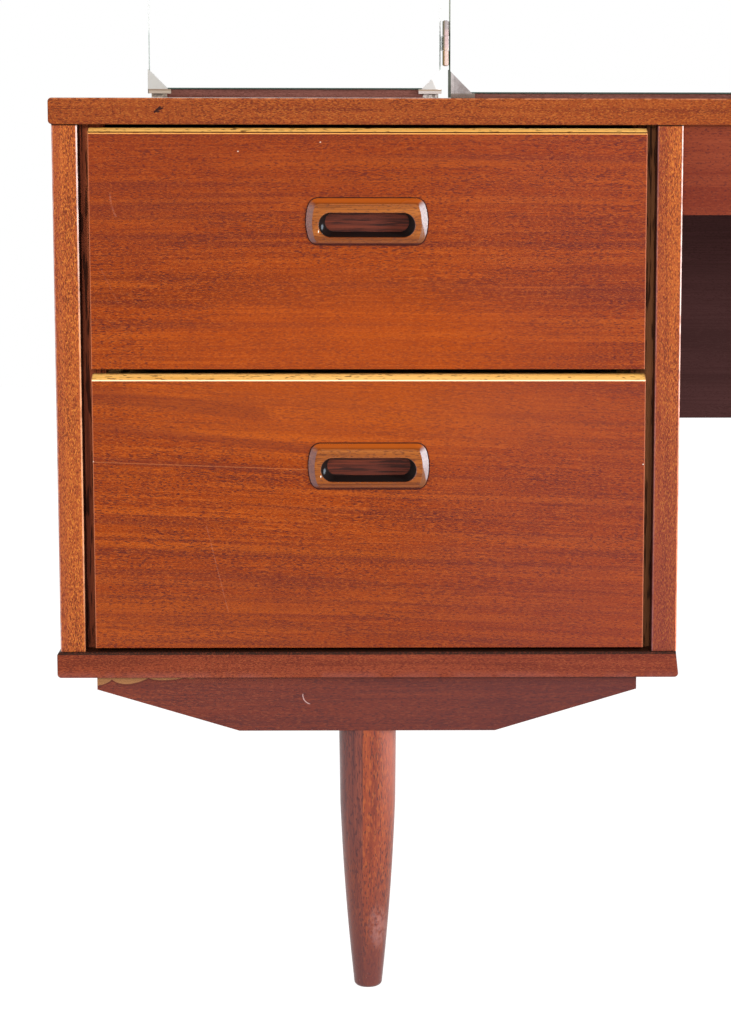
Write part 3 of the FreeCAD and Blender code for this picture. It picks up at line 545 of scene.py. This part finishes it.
def drawer_pull(side, row, seed):
    """Golden hardwood pull: grained land, bevels with painted reflections, a pocket with walls painted
    black as shade and a red-brown back.
    """
    node = f"{side}_{row}_drawer_pull"
    low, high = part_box(node)
    s = Shader(node + "_wood")
    grain = Grain(s, X, seed, wander=2 * MM)
    colour = grain.body(rgb(104, 54, 21), rgb(131, 71, 26), rgb(148, 85, 33),
                        bands=(5, 150), streaks=(9, 520))
    colour = grain.tint(colour, rgb(76, 36, 18), 0.55, 12, 560, 0.52, 0.66)
    colour, pore = grain.pores(colour, rgb(64, 31, 20), 0.6, 240, 1300, 0.56)
    centre_z = (low.z + high.z) / 2
    colour = s.mix(s.step(s.at[Z], low.z, centre_z - 8 * MM, 0.6, 0.2), colour, rgb(80, 33, 13))
    grain_line = s.band(s.at[Z], low.z + 3.6 * MM, low.z + 4.2 * MM, 0.5 * MM)
    colour = s.mix(s.times(grain_line, 0.5), colour, rgb(70, 32, 18))
    # painted reflections on the bevels: amber along the top, mauve at the left end
    amber = s.mix(s.step(s.at[Z], high.z - 4.4 * MM, high.z - 2.2 * MM), rgb(92, 36, 2), rgb(136, 60, 4))
    colour = s.mix(s.step(s.facing[Z], 0.2, 0.45, 0.0, 0.9), colour, amber)
    colour = s.mix(s.step(s.facing[X], -0.5, -0.25, 0.65, 0.0), colour, rgb(92, 70, 74))
    # the polished right end shines in a wedge that narrows downwards
    wedge_edge = s.step(s.at[Z], centre_z - 11 * MM, centre_z + 11 * MM,
                        high.x - 2.4 * MM, high.x - 6.8 * MM)
    wedge = s.times(s.step(s.minus(s.at[X], wedge_edge), -0.4 * MM, 0.4 * MM),
                    s.step(s.at[Z], centre_z - 12 * MM, centre_z - 9 * MM))
    shine = s.mix(wedge, rgb(98, 55, 27), rgb(136, 124, 127))
    colour = s.mix(s.step(s.facing[X], 0.25, 0.45, 0.0, 0.85), colour, shine)

    off_x = s.absolute(s.minus(s.at[X], (low.x + high.x) / 2))
    out_x = s.either(s.minus(off_x, POCKET_HALF_LENGTH - POCKET_RADIUS), 0.0)
    out_z = s.minus(s.at[Z], centre_z - POCKET_DROP)
    reach = s.distance(out_x, out_z)
    depth = s.minus(s.at[Y], low.y)
    inside = s.times(s.step(reach, POCKET_RADIUS - 0.1 * MM, POCKET_RADIUS + 0.3 * MM, 1.0, 0.0),
                     s.step(depth, 0.2 * MM, 0.7 * MM))
    back_grain = Grain(s, X, seed + 0.4, wander=1 * MM)
    back = back_grain.body(rgb(54, 22, 15), rgb(80, 33, 21), rgb(104, 45, 27),
                           bands=(8, 260), streaks=(16, 900))
    back = back_grain.tint(back, rgb(30, 14, 12), 0.8, 30, 700, 0.5, 0.62)
    # painted shade: the pocket's walls are near black
    wall_shade = s.step(s.absolute(s.facing[Y]), 0.9, 0.97, 1.0, 0.0)
    colour = s.mix(inside, colour, s.mix(wall_shade, back, rgb(16, 9, 8)))
    # a spot of glare and a painted glint at the lower left, and a dark line along the bottom
    glare = s.blob((low.x + 12.3 * MM, low.z + 13.2 * MM), (1.1 * MM, 2.6 * MM))
    colour = s.mix(s.times(glare, 0.5), colour, rgb(138, 150, 160))
    glint_dot = s.blob((low.x + 9.6 * MM, low.z + 9.9 * MM), (0.5 * MM, 1.3 * MM))
    colour = s.mix(s.times(glint_dot, 0.75), colour, CHIP_AND_GLINT_WHITE)
    foot_line = s.step(s.at[Z], low.z + 0.8 * MM, low.z + 1.5 * MM, 0.75, 0.0)
    colour = s.mix(foot_line, colour, rgb(52, 26, 34))
    return varnish(s, grain, colour, pore, s.blend(inside, 0.26, 0.62), 0.05 * MM, 0.24)


# ---- plainer woods --------------------------------------------------------------------------
def plain_wood(name, tones, axis, seed, roughness=0.42, pore_tone=None):
    """Even wood in three tones, dark to light, with the pores in the dark one unless told."""
    s = Shader(name)
    grain = Grain(s, axis, seed)
    colour = grain.body(*tones)
    colour = grain.tint(colour, tones[0], 0.5, 18, 900)
    colour = grain.tint(colour, tones[2], 0.4, 260, 1100, 0.52, 0.68, 1.0)
    colour, pore = grain.pores(colour, pore_tone or tones[0], 0.7)
    return varnish(s, grain, colour, pore, roughness)


SCALLOP_START = 11.5 * MM
SCALLOP_LENGTH = 28.5 * MM
SAPWOOD_END = 78 * MM


def bearer_wood(node, seed):
    """Plum-brown solid rail with pale sapwood at one upper corner and painted floor light on its
    underside.
    """
    low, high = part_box(node)
    s = Shader(node + "_wood")
    grain = Grain(s, X, seed)
    colour = grain.body(rgb(80, 31, 23), rgb(91, 38, 26), rgb(104, 46, 29),
                        bands=(2, 40), streaks=(5, 200))
    colour = grain.tint(colour, rgb(62, 27, 26), 0.45, 14, 420, 0.46, 0.64)
    colour = grain.tint(colour, rgb(118, 60, 38), 0.4, 240, 1100, 0.52, 0.68, 1.0)
    colour, pore = grain.pores(colour, rgb(52, 24, 26), 0.6, 300, 1400, 0.54)
    colour = s.mix(s.step(s.at[X], low.x, high.x, 0.0, 0.5), colour, rgb(66, 31, 32))
    outer_end = low.x if low.x < 0 else high.x
    out = s.absolute(s.minus(s.at[X], outer_end))
    # three scallops of sapwood, each shorter and thinner than the one before
    turn = s.calc("DIVIDE", s.minus(out, SCALLOP_START), SCALLOP_LENGTH / math.pi)
    wave = s.absolute(s.calc("SINE", turn))
    scallop = s.calc("MULTIPLY_ADD", s.calc("POWER", wave, 0.6), 0.75, 0.3)
    depth = s.times(scallop, s.step(out, 5 * MM, 60 * MM, 7.4 * MM, 3.0 * MM))
    below = s.minus(high.z, s.at[Z])
    within = s.minus(depth, below)
    sap = s.times(s.step(within, -0.3 * MM, 0.5 * MM),
                  s.step(out, SAPWOOD_END - 8 * MM, SAPWOOD_END, 1.0, 0.0))
    rim = s.times(s.band(within, -1.0 * MM, 0.2 * MM, 0.5 * MM),
                  s.step(out, SAPWOOD_END - 18 * MM, SAPWOOD_END, 0.6, 0.0))
    colour = s.mix(rim, colour, rgb(70, 29, 20))
    sap_tone = grain.body(rgb(112, 76, 46), rgb(130, 89, 54), rgb(148, 103, 64), bands=(9, 90))
    colour = s.mix(s.times(sap, 0.95), colour, sap_tone)
    if "front" in node:
        mid = (low.x + high.x) / 2
        scrape_start = (mid - 50.5 * MM, high.z - 15.3 * MM)
        scrape_end = (mid - 45.6 * MM, high.z - 22.4 * MM)
        scrape = s.line(scrape_start, scrape_end, 0.5 * MM, 1.4 * MM)
        colour = s.mix(s.times(scrape, 0.45), colour, rgb(190, 160, 156))
    # painted light from the pale floor on the faces that look down
    underside = s.step(s.facing[Z], -0.98, -0.6, 1.0, 0.0)
    colour = s.mix(s.times(underside, 0.3), colour, rgb(140, 96, 84))
    return varnish(s, grain, colour, pore, 0.42, specular=0.18)


LEG_SEAM_OFFSET = 3.9 * MM


def leg_wood(node, seed):
    """Turned leg glued up from two woods: plum on the left and orange-brown on the right."""
    low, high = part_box(node)
    middle_x = (low.x + high.x) / 2
    s = Shader(node + "_wood")
    grain = Grain(s, Z, seed, wander=3 * MM)
    orange = grain.body(rgb(95, 36, 22), rgb(112, 46, 25), rgb(128, 57, 28),
                        bands=(4, 110), streaks=(9, 320))
    orange = grain.tint(orange, rgb(146, 74, 32), 0.5, 170, 820, 0.5, 0.66, 1.0)
    plum_grain = Grain(s, Z, seed + 0.5, wander=3 * MM)
    plum = plum_grain.body(rgb(72, 30, 26), rgb(92, 42, 34), rgb(110, 54, 40),
                           bands=(4, 120), streaks=(9, 320))
    plum = plum_grain.tint(plum, rgb(52, 24, 30), 0.5, 60, 620, 0.5, 0.64)
    beyond = s.minus(s.at[X], middle_x - LEG_SEAM_OFFSET)
    split = s.step(s.at[Z], low.z + 80 * MM, low.z + 130 * MM, 0.45, 1.0)
    colour = s.mix(s.times(s.step(beyond, -0.3 * MM, 0.4 * MM, 1.0, 0.0), split), orange, plum)
    glue = s.times(s.band(beyond, -0.5 * MM, 0.0, 0.4 * MM),
                   s.step(s.at[Z], low.z + 90 * MM, high.z, 0.0, 0.5))
    colour = s.mix(glue, colour, rgb(44, 20, 22))
    colour, pore = grain.pores(colour, rgb(56, 22, 25), 0.75, 230, 1050, 0.55)
    lowness = s.step(s.at[Z], low.z, low.z + 120 * MM, 1.0, 0.0)
    colour = s.mix(s.times(lowness, 0.75), colour, rgb(72, 35, 35))
    # painted highlight along the right side, fading out towards the floor
    right = s.times(s.step(s.at[X], high.x - 14 * MM, high.x - 4 * MM),
                    s.step(s.at[Z], low.z + 100 * MM, high.z))
    colour = s.mix(s.times(right, 0.44), colour, rgb(178, 106, 90))
    pale_patch = s.times(s.blob((middle_x + 8 * MM, low.z + 52 * MM), (9 * MM, 22 * MM)),
                    s.speckle(220, 0.3, 0.6))
    colour = s.mix(s.times(pale_patch, 0.22), colour, rgb(176, 128, 122))
    chips = s.times(s.speckle(900, 0.68, 0.74), s.step(s.at[Z], low.z + 6 * MM, low.z + 14 * MM, 1.0, 0.0))
    colour = s.mix(s.times(chips, 0.7), colour, HIGHLIGHT_AND_CHIP_PALE)
    return varnish(s, grain, colour, pore, 0.3, 0.08 * MM, 0.32)


def plywood(name, seed):
    """Raw birch plywood: pale, finely streaked and blotted here and there."""
    s = Shader(name)
    grain = Grain(s, X, seed, wander=10 * MM)
    colour = grain.body(rgb(150, 108, 68), rgb(172, 128, 84), rgb(190, 148, 102),
                        bands=(2, 12), streaks=(5, 120))
    colour, pore = grain.pores(colour, rgb(110, 74, 46), 0.5, 60, 600, 0.6)
    blot = s.speckle(14, 0.5, 0.75)
    colour = s.mix(s.times(blot, 0.25), colour, rgb(126, 86, 54))
    return varnish(s, grain, colour, pore, 0.62, specular=0.15)


STILE_SEED = 21
RED_STILE = (rgb(88, 40, 27), rgb(132, 64, 40), rgb(166, 86, 52))
OLIVE_STILE = (rgb(68, 41, 24), rgb(103, 63, 38), rgb(128, 80, 50))


def stile_wood(side):
    """Dark upright battens: reddish at the pedestal's outer side, olive-brown at the inner one."""
    low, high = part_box(side + "_guide_stiles")
    s = Shader(side + "_stile_wood")
    grain = Grain(s, Z, STILE_SEED, wander=2 * MM)
    red, olive = (grain.body(*tones, bands=(1.2, 160), streaks=(3, 420))
                  for tones in (RED_STILE, OLIVE_STILE))
    middle_x = (low.x + high.x) / 2
    inner_side = s.step(s.minus(s.at[X], middle_x), -50 * MM, 50 * MM)
    if low.x > 0:
        inner_side = s.minus(1.0, inner_side)
    colour = s.mix(inner_side, red, olive)
    colour, pore = grain.pores(colour, rgb(28, 14, 10), 0.8, 40, 500, 0.54)
    return varnish(s, grain, colour, pore, 0.5)


# ---- metal and glass ------------------------------------------------------------------------
def metal_surface(s, colour, roughness, per_metre=180, metallic=1.0):
    """Slightly uneven metal of the given colour; metallic 0 gives it a matt skin."""
    cloud = s.noise(s.scale(s.place, (per_metre,) * 3), 3.0, 0.6)
    colour = s.mix(s.step(cloud, 0.45, 0.75, 0.0, 0.08), colour, rgb(120, 112, 104))
    brushed = s.noise(s.scale(s.place, (900, 900, 60)), 2.0)
    s.bump(s.calc("MULTIPLY_ADD", brushed, 0.4, cloud), 0.2, 0.03 * MM)
    rough = s.step(cloud, 0.3, 0.7, roughness - 0.05, roughness + 0.08)
    return s.finish(colour, rough, Metallic=metallic, Specular_IOR_Level=0.3)


def steel():
    s = Shader("screw_steel")
    cloud = s.speckle(180, 0.4, 0.75)
    return metal_surface(s, s.mix(cloud, rgb(150, 148, 142), rgb(92, 88, 80)), 0.4)


DESK_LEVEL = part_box("desk_top")[1].z
HINGE_FOOT = 24 * MM
HINGE_HEAD = 60 * MM


def mirror_glass(node, foot, hinge, upper):
    """Silvered glass. Its ground edges carry painted light and shade: the tone changes below, beside and
    above the lower hinge, and on the faces that look down.
    """
    s = Shader(node + "_silver")
    silvered = s.step(s.absolute(s.facing[Y]), 0.9, 0.97)
    above = s.minus(s.at[Z], DESK_LEVEL)
    ground = s.mix(s.step(above, HINGE_FOOT - 2 * MM, HINGE_FOOT + 2 * MM), foot, hinge)
    ground = s.mix(s.step(above, HINGE_HEAD - 5 * MM, HINGE_HEAD + 4 * MM), ground, upper)
    ground = s.mix(s.step(s.facing[Z], -0.6, -0.3, 1.0, 0.0), ground, rgb(84, 108, 100))
    ground = s.mix(s.times(s.speckle(600, 0.4, 0.6), 0.15), ground, rgb(60, 80, 70))
    colour = s.mix(silvered, ground, WHITE)
    cloud = s.noise(s.scale(s.place, (40, 40, 40)), 4.0, 0.6)
    rough = s.blend(silvered, 0.3, s.step(cloud, 0.5, 0.8, 0.0, 0.02))
    return s.finish(colour, rough, Metallic=silvered, Specular_IOR_Level=0.1)


def clip_zones(s, pane):
    """Masks of a clip's flange below the glass, the line along its top and the tab under it."""
    below = s.minus(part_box(pane)[0].z, s.at[Z])
    flange = s.step(below, 0.0, 0.3 * MM)
    crease = s.band(below, 0.2 * MM, 1.2 * MM, 0.4 * MM)
    tab = s.step(below, 3.9 * MM, 4.1 * MM)
    return flange, crease, tab


# how far sideways the painted highlight beside the hinge leans, for each unit of height
CLIP_LEAN = 0.43


def wing_clip_metal(side):
    """Clip metal that is beige on the folded flange, with a painted highlight that makes it nearly white
    beside the hinge.
    """
    pane = side + "_wing_glass"
    low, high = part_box(pane)
    width = high.x - low.x
    s = Shader(side + "_wing_clip_nickel")
    inward = s.minus(s.at[X], low.x) if side == "left" else s.minus(high.x, s.at[X])
    inner = s.step(inward, 0.4 * width, 0.6 * width)
    leant = s.calc("MULTIPLY_ADD", s.minus(s.at[Z], low.z), CLIP_LEAN, inward)
    hinge_highlight = s.step(leant, width - 5 * MM, width - 1.5 * MM)
    flange, crease, tab = clip_zones(s, pane)
    colour = s.mix(inner, rgb(172, 171, 166), rgb(188, 186, 183))
    colour = s.mix(s.times(hinge_highlight, s.minus(1.0, flange)), colour, WHITE)
    colour = s.mix(flange, colour, s.mix(inner, rgb(157, 143, 128), rgb(180, 170, 164)))
    colour = s.mix(crease, colour, s.mix(inner, rgb(126, 108, 90), rgb(150, 131, 112)))
    spots = s.times(tab, s.speckle(260, 0.42, 0.55))
    colour = s.mix(s.times(spots, 0.8), colour, rgb(92, 82, 75))
    end = s.times(flange, s.step(inward, -0.3 * MM, 0.4 * MM, 1.0, 0.0))
    colour = s.mix(s.times(end, 0.8), colour, rgb(70, 63, 55))
    return metal_surface(s, colour, 0.4, metallic=0.0)


def centre_clip_metal():
    """Mauve-grey metal: painted shade on the fold along the pane's side, a bright line beside it."""
    pane_half_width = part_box("centre_mirror_glass")[1].x
    s = Shader("centre_clip_nickel")
    edge = s.minus(pane_half_width, s.absolute(s.at[X]))
    flange, crease = clip_zones(s, "centre_mirror_glass")[:2]
    colour = s.mix(s.step(edge, 4 * MM, 5 * MM), rgb(214, 204, 202), rgb(190, 180, 178))
    colour = s.mix(flange, colour, rgb(152, 134, 124))
    colour = s.mix(s.times(crease, 0.5), colour, rgb(168, 156, 146))
    # painted shade on the fold along the pane's side
    colour = s.mix(s.step(edge, 1.5 * MM, 1.9 * MM, 1.0, 0.0), colour, rgb(102, 106, 96))
    return metal_surface(s, colour, 0.14)


PIN_HEAD_RADIUS = 2.6 * MM
HINGE_MIDDLE = 45 * MM


def hinge_brass():
    """Plated brass on a matt skin with painted reflections across the barrel: rosy in front, gold, an
    olive line along the side that faces outward; the leaf beyond is painted white as light.
    """
    pin_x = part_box("hinge_pins")[1].x - PIN_HEAD_RADIUS
    s = Shader("hinge_brass")
    out = s.minus(s.absolute(s.at[X]), pin_x)
    above = s.minus(s.at[Z], DESK_LEVEL)
    upper_half = s.step(above, HINGE_MIDDLE - 2 * MM, HINGE_MIDDLE + 2 * MM)
    over_hinge = s.step(above, HINGE_HEAD - 2 * MM, HINGE_HEAD + 4 * MM)
    rosy = s.mix(upper_half, rgb(200, 176, 166), rgb(184, 160, 158))
    rosy = s.mix(over_hinge, rosy, rgb(146, 137, 136))
    gold = s.mix(upper_half, rgb(146, 112, 62), rgb(122, 108, 84))
    # painted reflections across the barrel, then painted light on the leaf beyond it
    colour = s.mix(s.step(out, 0.7 * MM, 1.0 * MM), rosy, gold)
    colour = s.mix(s.step(out, 1.7 * MM, 2.0 * MM), colour, rgb(56, 64, 46))
    colour = s.mix(s.step(out, 2.8 * MM, 3.0 * MM), colour, rgb(246, 250, 250))
    return metal_surface(s, colour, 0.45, 420, metallic=0.0)


# ---- dressing the CAD nodes -----------------------------------------------------------------
def dress(node, material):
    """Gives the whole CAD node one material."""
    mesh = nodes[node].data
    for index in range(len(mesh.materials)):
        mesh.materials[index] = material
    if not mesh.materials:
        mesh.materials.append(material)


RAIL_TONES = (rgb(90, 35, 23), rgb(103, 45, 28), rgb(115, 54, 34))
# the modesty panel's tones are darkened as painted shade for the shadow in the kneehole
MODESTY_SHADED_TONES = (rgb(57, 34, 33), rgb(67, 41, 40), rgb(73, 45, 44))
DRAWER_BOX_TONES = (rgb(172, 128, 78), rgb(194, 152, 98), rgb(210, 172, 120))
MIRROR_BOARD_TONES = (rgb(88, 52, 45), rgb(110, 70, 62), rgb(130, 86, 76))
# painted light and shade on the ground edges of the panes: tones below, beside and above the lower hinge
CENTRE_EDGE = (rgb(84, 88, 80), rgb(42, 70, 46), rgb(144, 150, 136))
WING_EDGE = (rgb(212, 215, 212), rgb(178, 186, 182), rgb(222, 224, 222))


def dress_boards():
    dress("desk_top", desk_top())
    for half, side in enumerate(SIDES):
        dress(side + "_base_board", base_board(side, 2 + 5 * half))
        dress(side + "_outer_side", side_panel(side + "_outer_side", 3 + 10 * half))
        dress(side + "_inner_side", side_panel(side + "_inner_side", 4 + 10 * half))
    dress("kneehole_rail", plain_wood("rail_wood", RAIL_TONES, X, 24, pore_tone=rgb(70, 28, 26)))
    dress("modesty_panel", plain_wood("modesty_wood", MODESTY_SHADED_TONES, X, 25))


def dress_drawers(box_wood, bottom_wood):
    for half, side in enumerate(SIDES):
        for level, row in enumerate(ROWS):
            stem = f"{side}_{row}_drawer_"
            dress(stem + "front", drawer_front(side, row, 5 + level + 10 * half))
            dress(stem + "pull", drawer_pull(side, row, 8 + level + 10 * half))
            dress(stem + "sides", box_wood)
            dress(stem + "back", box_wood)
            dress(stem + "bottom", bottom_wood)


def dress_underframe():
    for half, side in enumerate(SIDES):
        for place, end in enumerate(("front", "rear")):
            seed = 30 + 4 * half + 2 * place
            dress(f"{side}_{end}_bearer", bearer_wood(f"{side}_{end}_bearer", seed))
            dress(f"{side}_{end}_leg", leg_wood(f"{side}_{end}_leg", seed + 1))


def dress_mirror(board_wood):
    brass = hinge_brass()
    dress("centre_mirror_board", board_wood)
    dress("centre_mirror_glass", mirror_glass("centre_mirror_glass", *CENTRE_EDGE))
    dress("centre_mirror_clips", centre_clip_metal())
    dress("centre_hinge_leaves", brass)
    dress("hinge_pins", brass)
    for side in SIDES:
        dress(side + "_mirror_post", board_wood)
        dress(side + "_wing_board", board_wood)
        dress(side + "_wing_glass", mirror_glass(side + "_wing_glass", *WING_EDGE))
        dress(side + "_wing_clips", wing_clip_metal(side))
        dress(side + "_wing_hinge_leaves", brass)


def dress_all():
    pale = plain_wood("drawer_box_wood", DRAWER_BOX_TONES, Y, 26, 0.55)
    ply = plywood("birch_plywood", 27)
    board = plain_wood("mirror_board_wood", MIRROR_BOARD_TONES, X, 29)
    dress_boards()
    dress_drawers(pale, ply)
    dress_underframe()
    dress_mirror(board)
    screws = steel()
    dress("leg_bolts", screws)
    dress("wood_screws", screws)
    for side in SIDES:
        dress(side + "_guide_stiles", stile_wood(side))
        dress(side + "_drawer_runners", pale)
        dress(side + "_pedestal_back", ply)


# ---- studio ---------------------------------------------------------------------------------
FLOOR_HALF_WIDTH = 3.2
FLOOR_FRONT, FLOOR_REAR = -2.3, 4.5
FLOOR_TONES = ((0.24, 0.24, 0.24, 1.0), (0.27, 0.27, 0.27, 1.0))
FLOOR_GLOW = 0.9


def floor():
    """A sheet of pale paper that glows, so that only a trace of shadow lies on it."""
    corners = [(x, y, 0) for x, y in ((-FLOOR_HALF_WIDTH, FLOOR_FRONT), (FLOOR_HALF_WIDTH, FLOOR_FRONT),
                                      (FLOOR_HALF_WIDTH, FLOOR_REAR), (-FLOOR_HALF_WIDTH, FLOOR_REAR))]
    mesh = bpy.data.meshes.new("studio_floor")
    mesh.from_pydata(corners, [], [(0, 1, 2, 3)])
    sheet = bpy.data.objects.new("studio_floor", mesh)
    bpy.context.scene.collection.objects.link(sheet)
    s = Shader("floor_paper")
    cloud = s.noise(s.scale(s.place, (2, 2, 2)), 3.0)
    tone = s.mix(s.step(cloud, 0.3, 0.7), *FLOOR_TONES)
    mesh.materials.append(s.finish(tone, 0.9, Specular_IOR_Level=0.0,
                                   Emission_Color=WHITE, Emission_Strength=FLOOR_GLOW))


# watts per square metre of lamp for one unit of radiance
WATTS_PER_AREA = 4


def soft_light(name, place, aim, size, radiance, mirrored=True):
    """A rectangular area light that the camera does not see."""
    data = bpy.data.lights.new(name, "AREA")
    data.shape = "RECTANGLE"
    data.size, data.size_y = size
    data.energy = radiance * WATTS_PER_AREA * size[0] * size[1]
    lamp = bpy.data.objects.new(name, data)
    lamp.location = place
    lamp.rotation_euler = (Vector(aim) - Vector(place)).to_track_quat("-Z", "Y").to_euler()
    lamp.visible_camera = False
    lamp.visible_glossy = mirrored
    bpy.context.scene.collection.objects.link(lamp)


WORLD_LIGHT = 0.65
# heights on the unit sphere between which the belt's lower and upper borders fade
BELT_FOOT, BELT_HEAD = (-0.06, -0.01), (0.08, 0.4)
UNDER_BELT, OVER_BELT = 0.12, 0.35


def white_world():
    """White to the camera, dimmer as diffuse light, a bright belt at the horizon in reflections."""
    world = bpy.data.worlds.new("studio_white")
    world.use_nodes = True
    tree = world.node_tree
    background = tree.nodes["Background"]
    background.inputs["Color"].default_value = WHITE

    def add(kind, **settings):
        made = tree.nodes.new(kind)
        for name, value in settings.items():
            setattr(made, name, value)
        return made

    def ramp(value, low, high, out_low, out_high):
        made = add("ShaderNodeMapRange", interpolation_type="SMOOTHSTEP")
        tree.links.new(value, made.inputs["Value"])
        for name, number in (("From Min", low), ("From Max", high),
                             ("To Min", out_low), ("To Max", out_high)):
            made.inputs[name].default_value = number
        return made.outputs["Result"]

    def choose(factor, under, over):
        made = add("ShaderNodeMix", data_type="FLOAT")
        tree.links.new(factor, made.inputs["Factor"])
        for place, value in ((NUMBER_UNDER, under), (NUMBER_OVER, over)):
            if isinstance(value, bpy.types.NodeSocket):
                tree.links.new(value, made.inputs[place])
            else:
                made.inputs[place].default_value = value
        return made.outputs[NUMBER_RESULT]

    direction = add("ShaderNodeSeparateXYZ")
    tree.links.new(add("ShaderNodeTexCoord").outputs["Generated"], direction.inputs[0])
    height = direction.outputs["Z"]
    below = ramp(height, *BELT_FOOT, UNDER_BELT, 1.0)
    above = ramp(height, *BELT_HEAD, 1.0, OVER_BELT)
    belt = add("ShaderNodeMath", operation="MULTIPLY")
    tree.links.new(below, belt.inputs[0])
    tree.links.new(above, belt.inputs[1])
    path = add("ShaderNodeLightPath")
    strength = choose(path.outputs["Is Glossy Ray"], WORLD_LIGHT, belt.outputs[0])
    strength = choose(path.outputs["Is Camera Ray"], strength, 1.0)
    tree.links.new(strength, background.inputs["Strength"])
    bpy.context.scene.world = world


LEFT_PEDESTAL = (-0.5, -0.2, 0.45)


def studio():
    floor()
    white_world()
    bpy.context.scene.view_settings.view_transform = "Standard"
    soft_light("window_right", (2.15, -1.75, 0.95), LEFT_PEDESTAL, (0.7, 1.7), 22.0)
    soft_light("window_left", (-3.3, -1.2, 1.0), LEFT_PEDESTAL, (0.8, 1.6), 7.0)
    soft_light("front_soft", (-0.4, -3.3, 1.22), (-0.4, -0.2, 0.6), (2.4, 0.5), 17.0, mirrored=False)


# ---- camera ---------------------------------------------------------------------------------
CAMERA_PLACE = (-0.4977, -2.3710, 0.7058)
# degrees: turned to the right, tipped down, rolled
CAMERA_TURN = 0.966
CAMERA_DOWN = 8.395
CAMERA_ROLL = 0.090
CAMERA_LENS = 98.53
CAMERA_SENSOR = 36.0
CAMERA_SHIFT = -0.0738
CAMERA_RANGE = (0.05, 60.0)


def camera():
    turn, down, roll = (math.radians(a) for a in (CAMERA_TURN, CAMERA_DOWN, CAMERA_ROLL))
    forward = Vector((math.sin(turn) * math.cos(down), math.cos(turn) * math.cos(down), -math.sin(down)))
    level = Vector((math.cos(turn), -math.sin(turn), 0.0))
    upright = level.cross(forward)
    right = math.cos(roll) * level + math.sin(roll) * upright
    up = -math.sin(roll) * level + math.cos(roll) * upright
    data = bpy.data.cameras.new("camera")
    data.lens = CAMERA_LENS
    data.sensor_width = CAMERA_SENSOR
    data.shift_x = CAMERA_SHIFT
    data.clip_start, data.clip_end = CAMERA_RANGE
    eye = bpy.data.objects.new("camera", data)
    eye.matrix_world = Matrix((
        (right.x, up.x, -forward.x, CAMERA_PLACE[0]),
        (right.y, up.y, -forward.y, CAMERA_PLACE[1]),
        (right.z, up.z, -forward.z, CAMERA_PLACE[2]),
        (0, 0, 0, 1)))
    bpy.context.scene.collection.objects.link(eye)
    bpy.context.scene.camera = eye


dress_all()
studio()
camera()
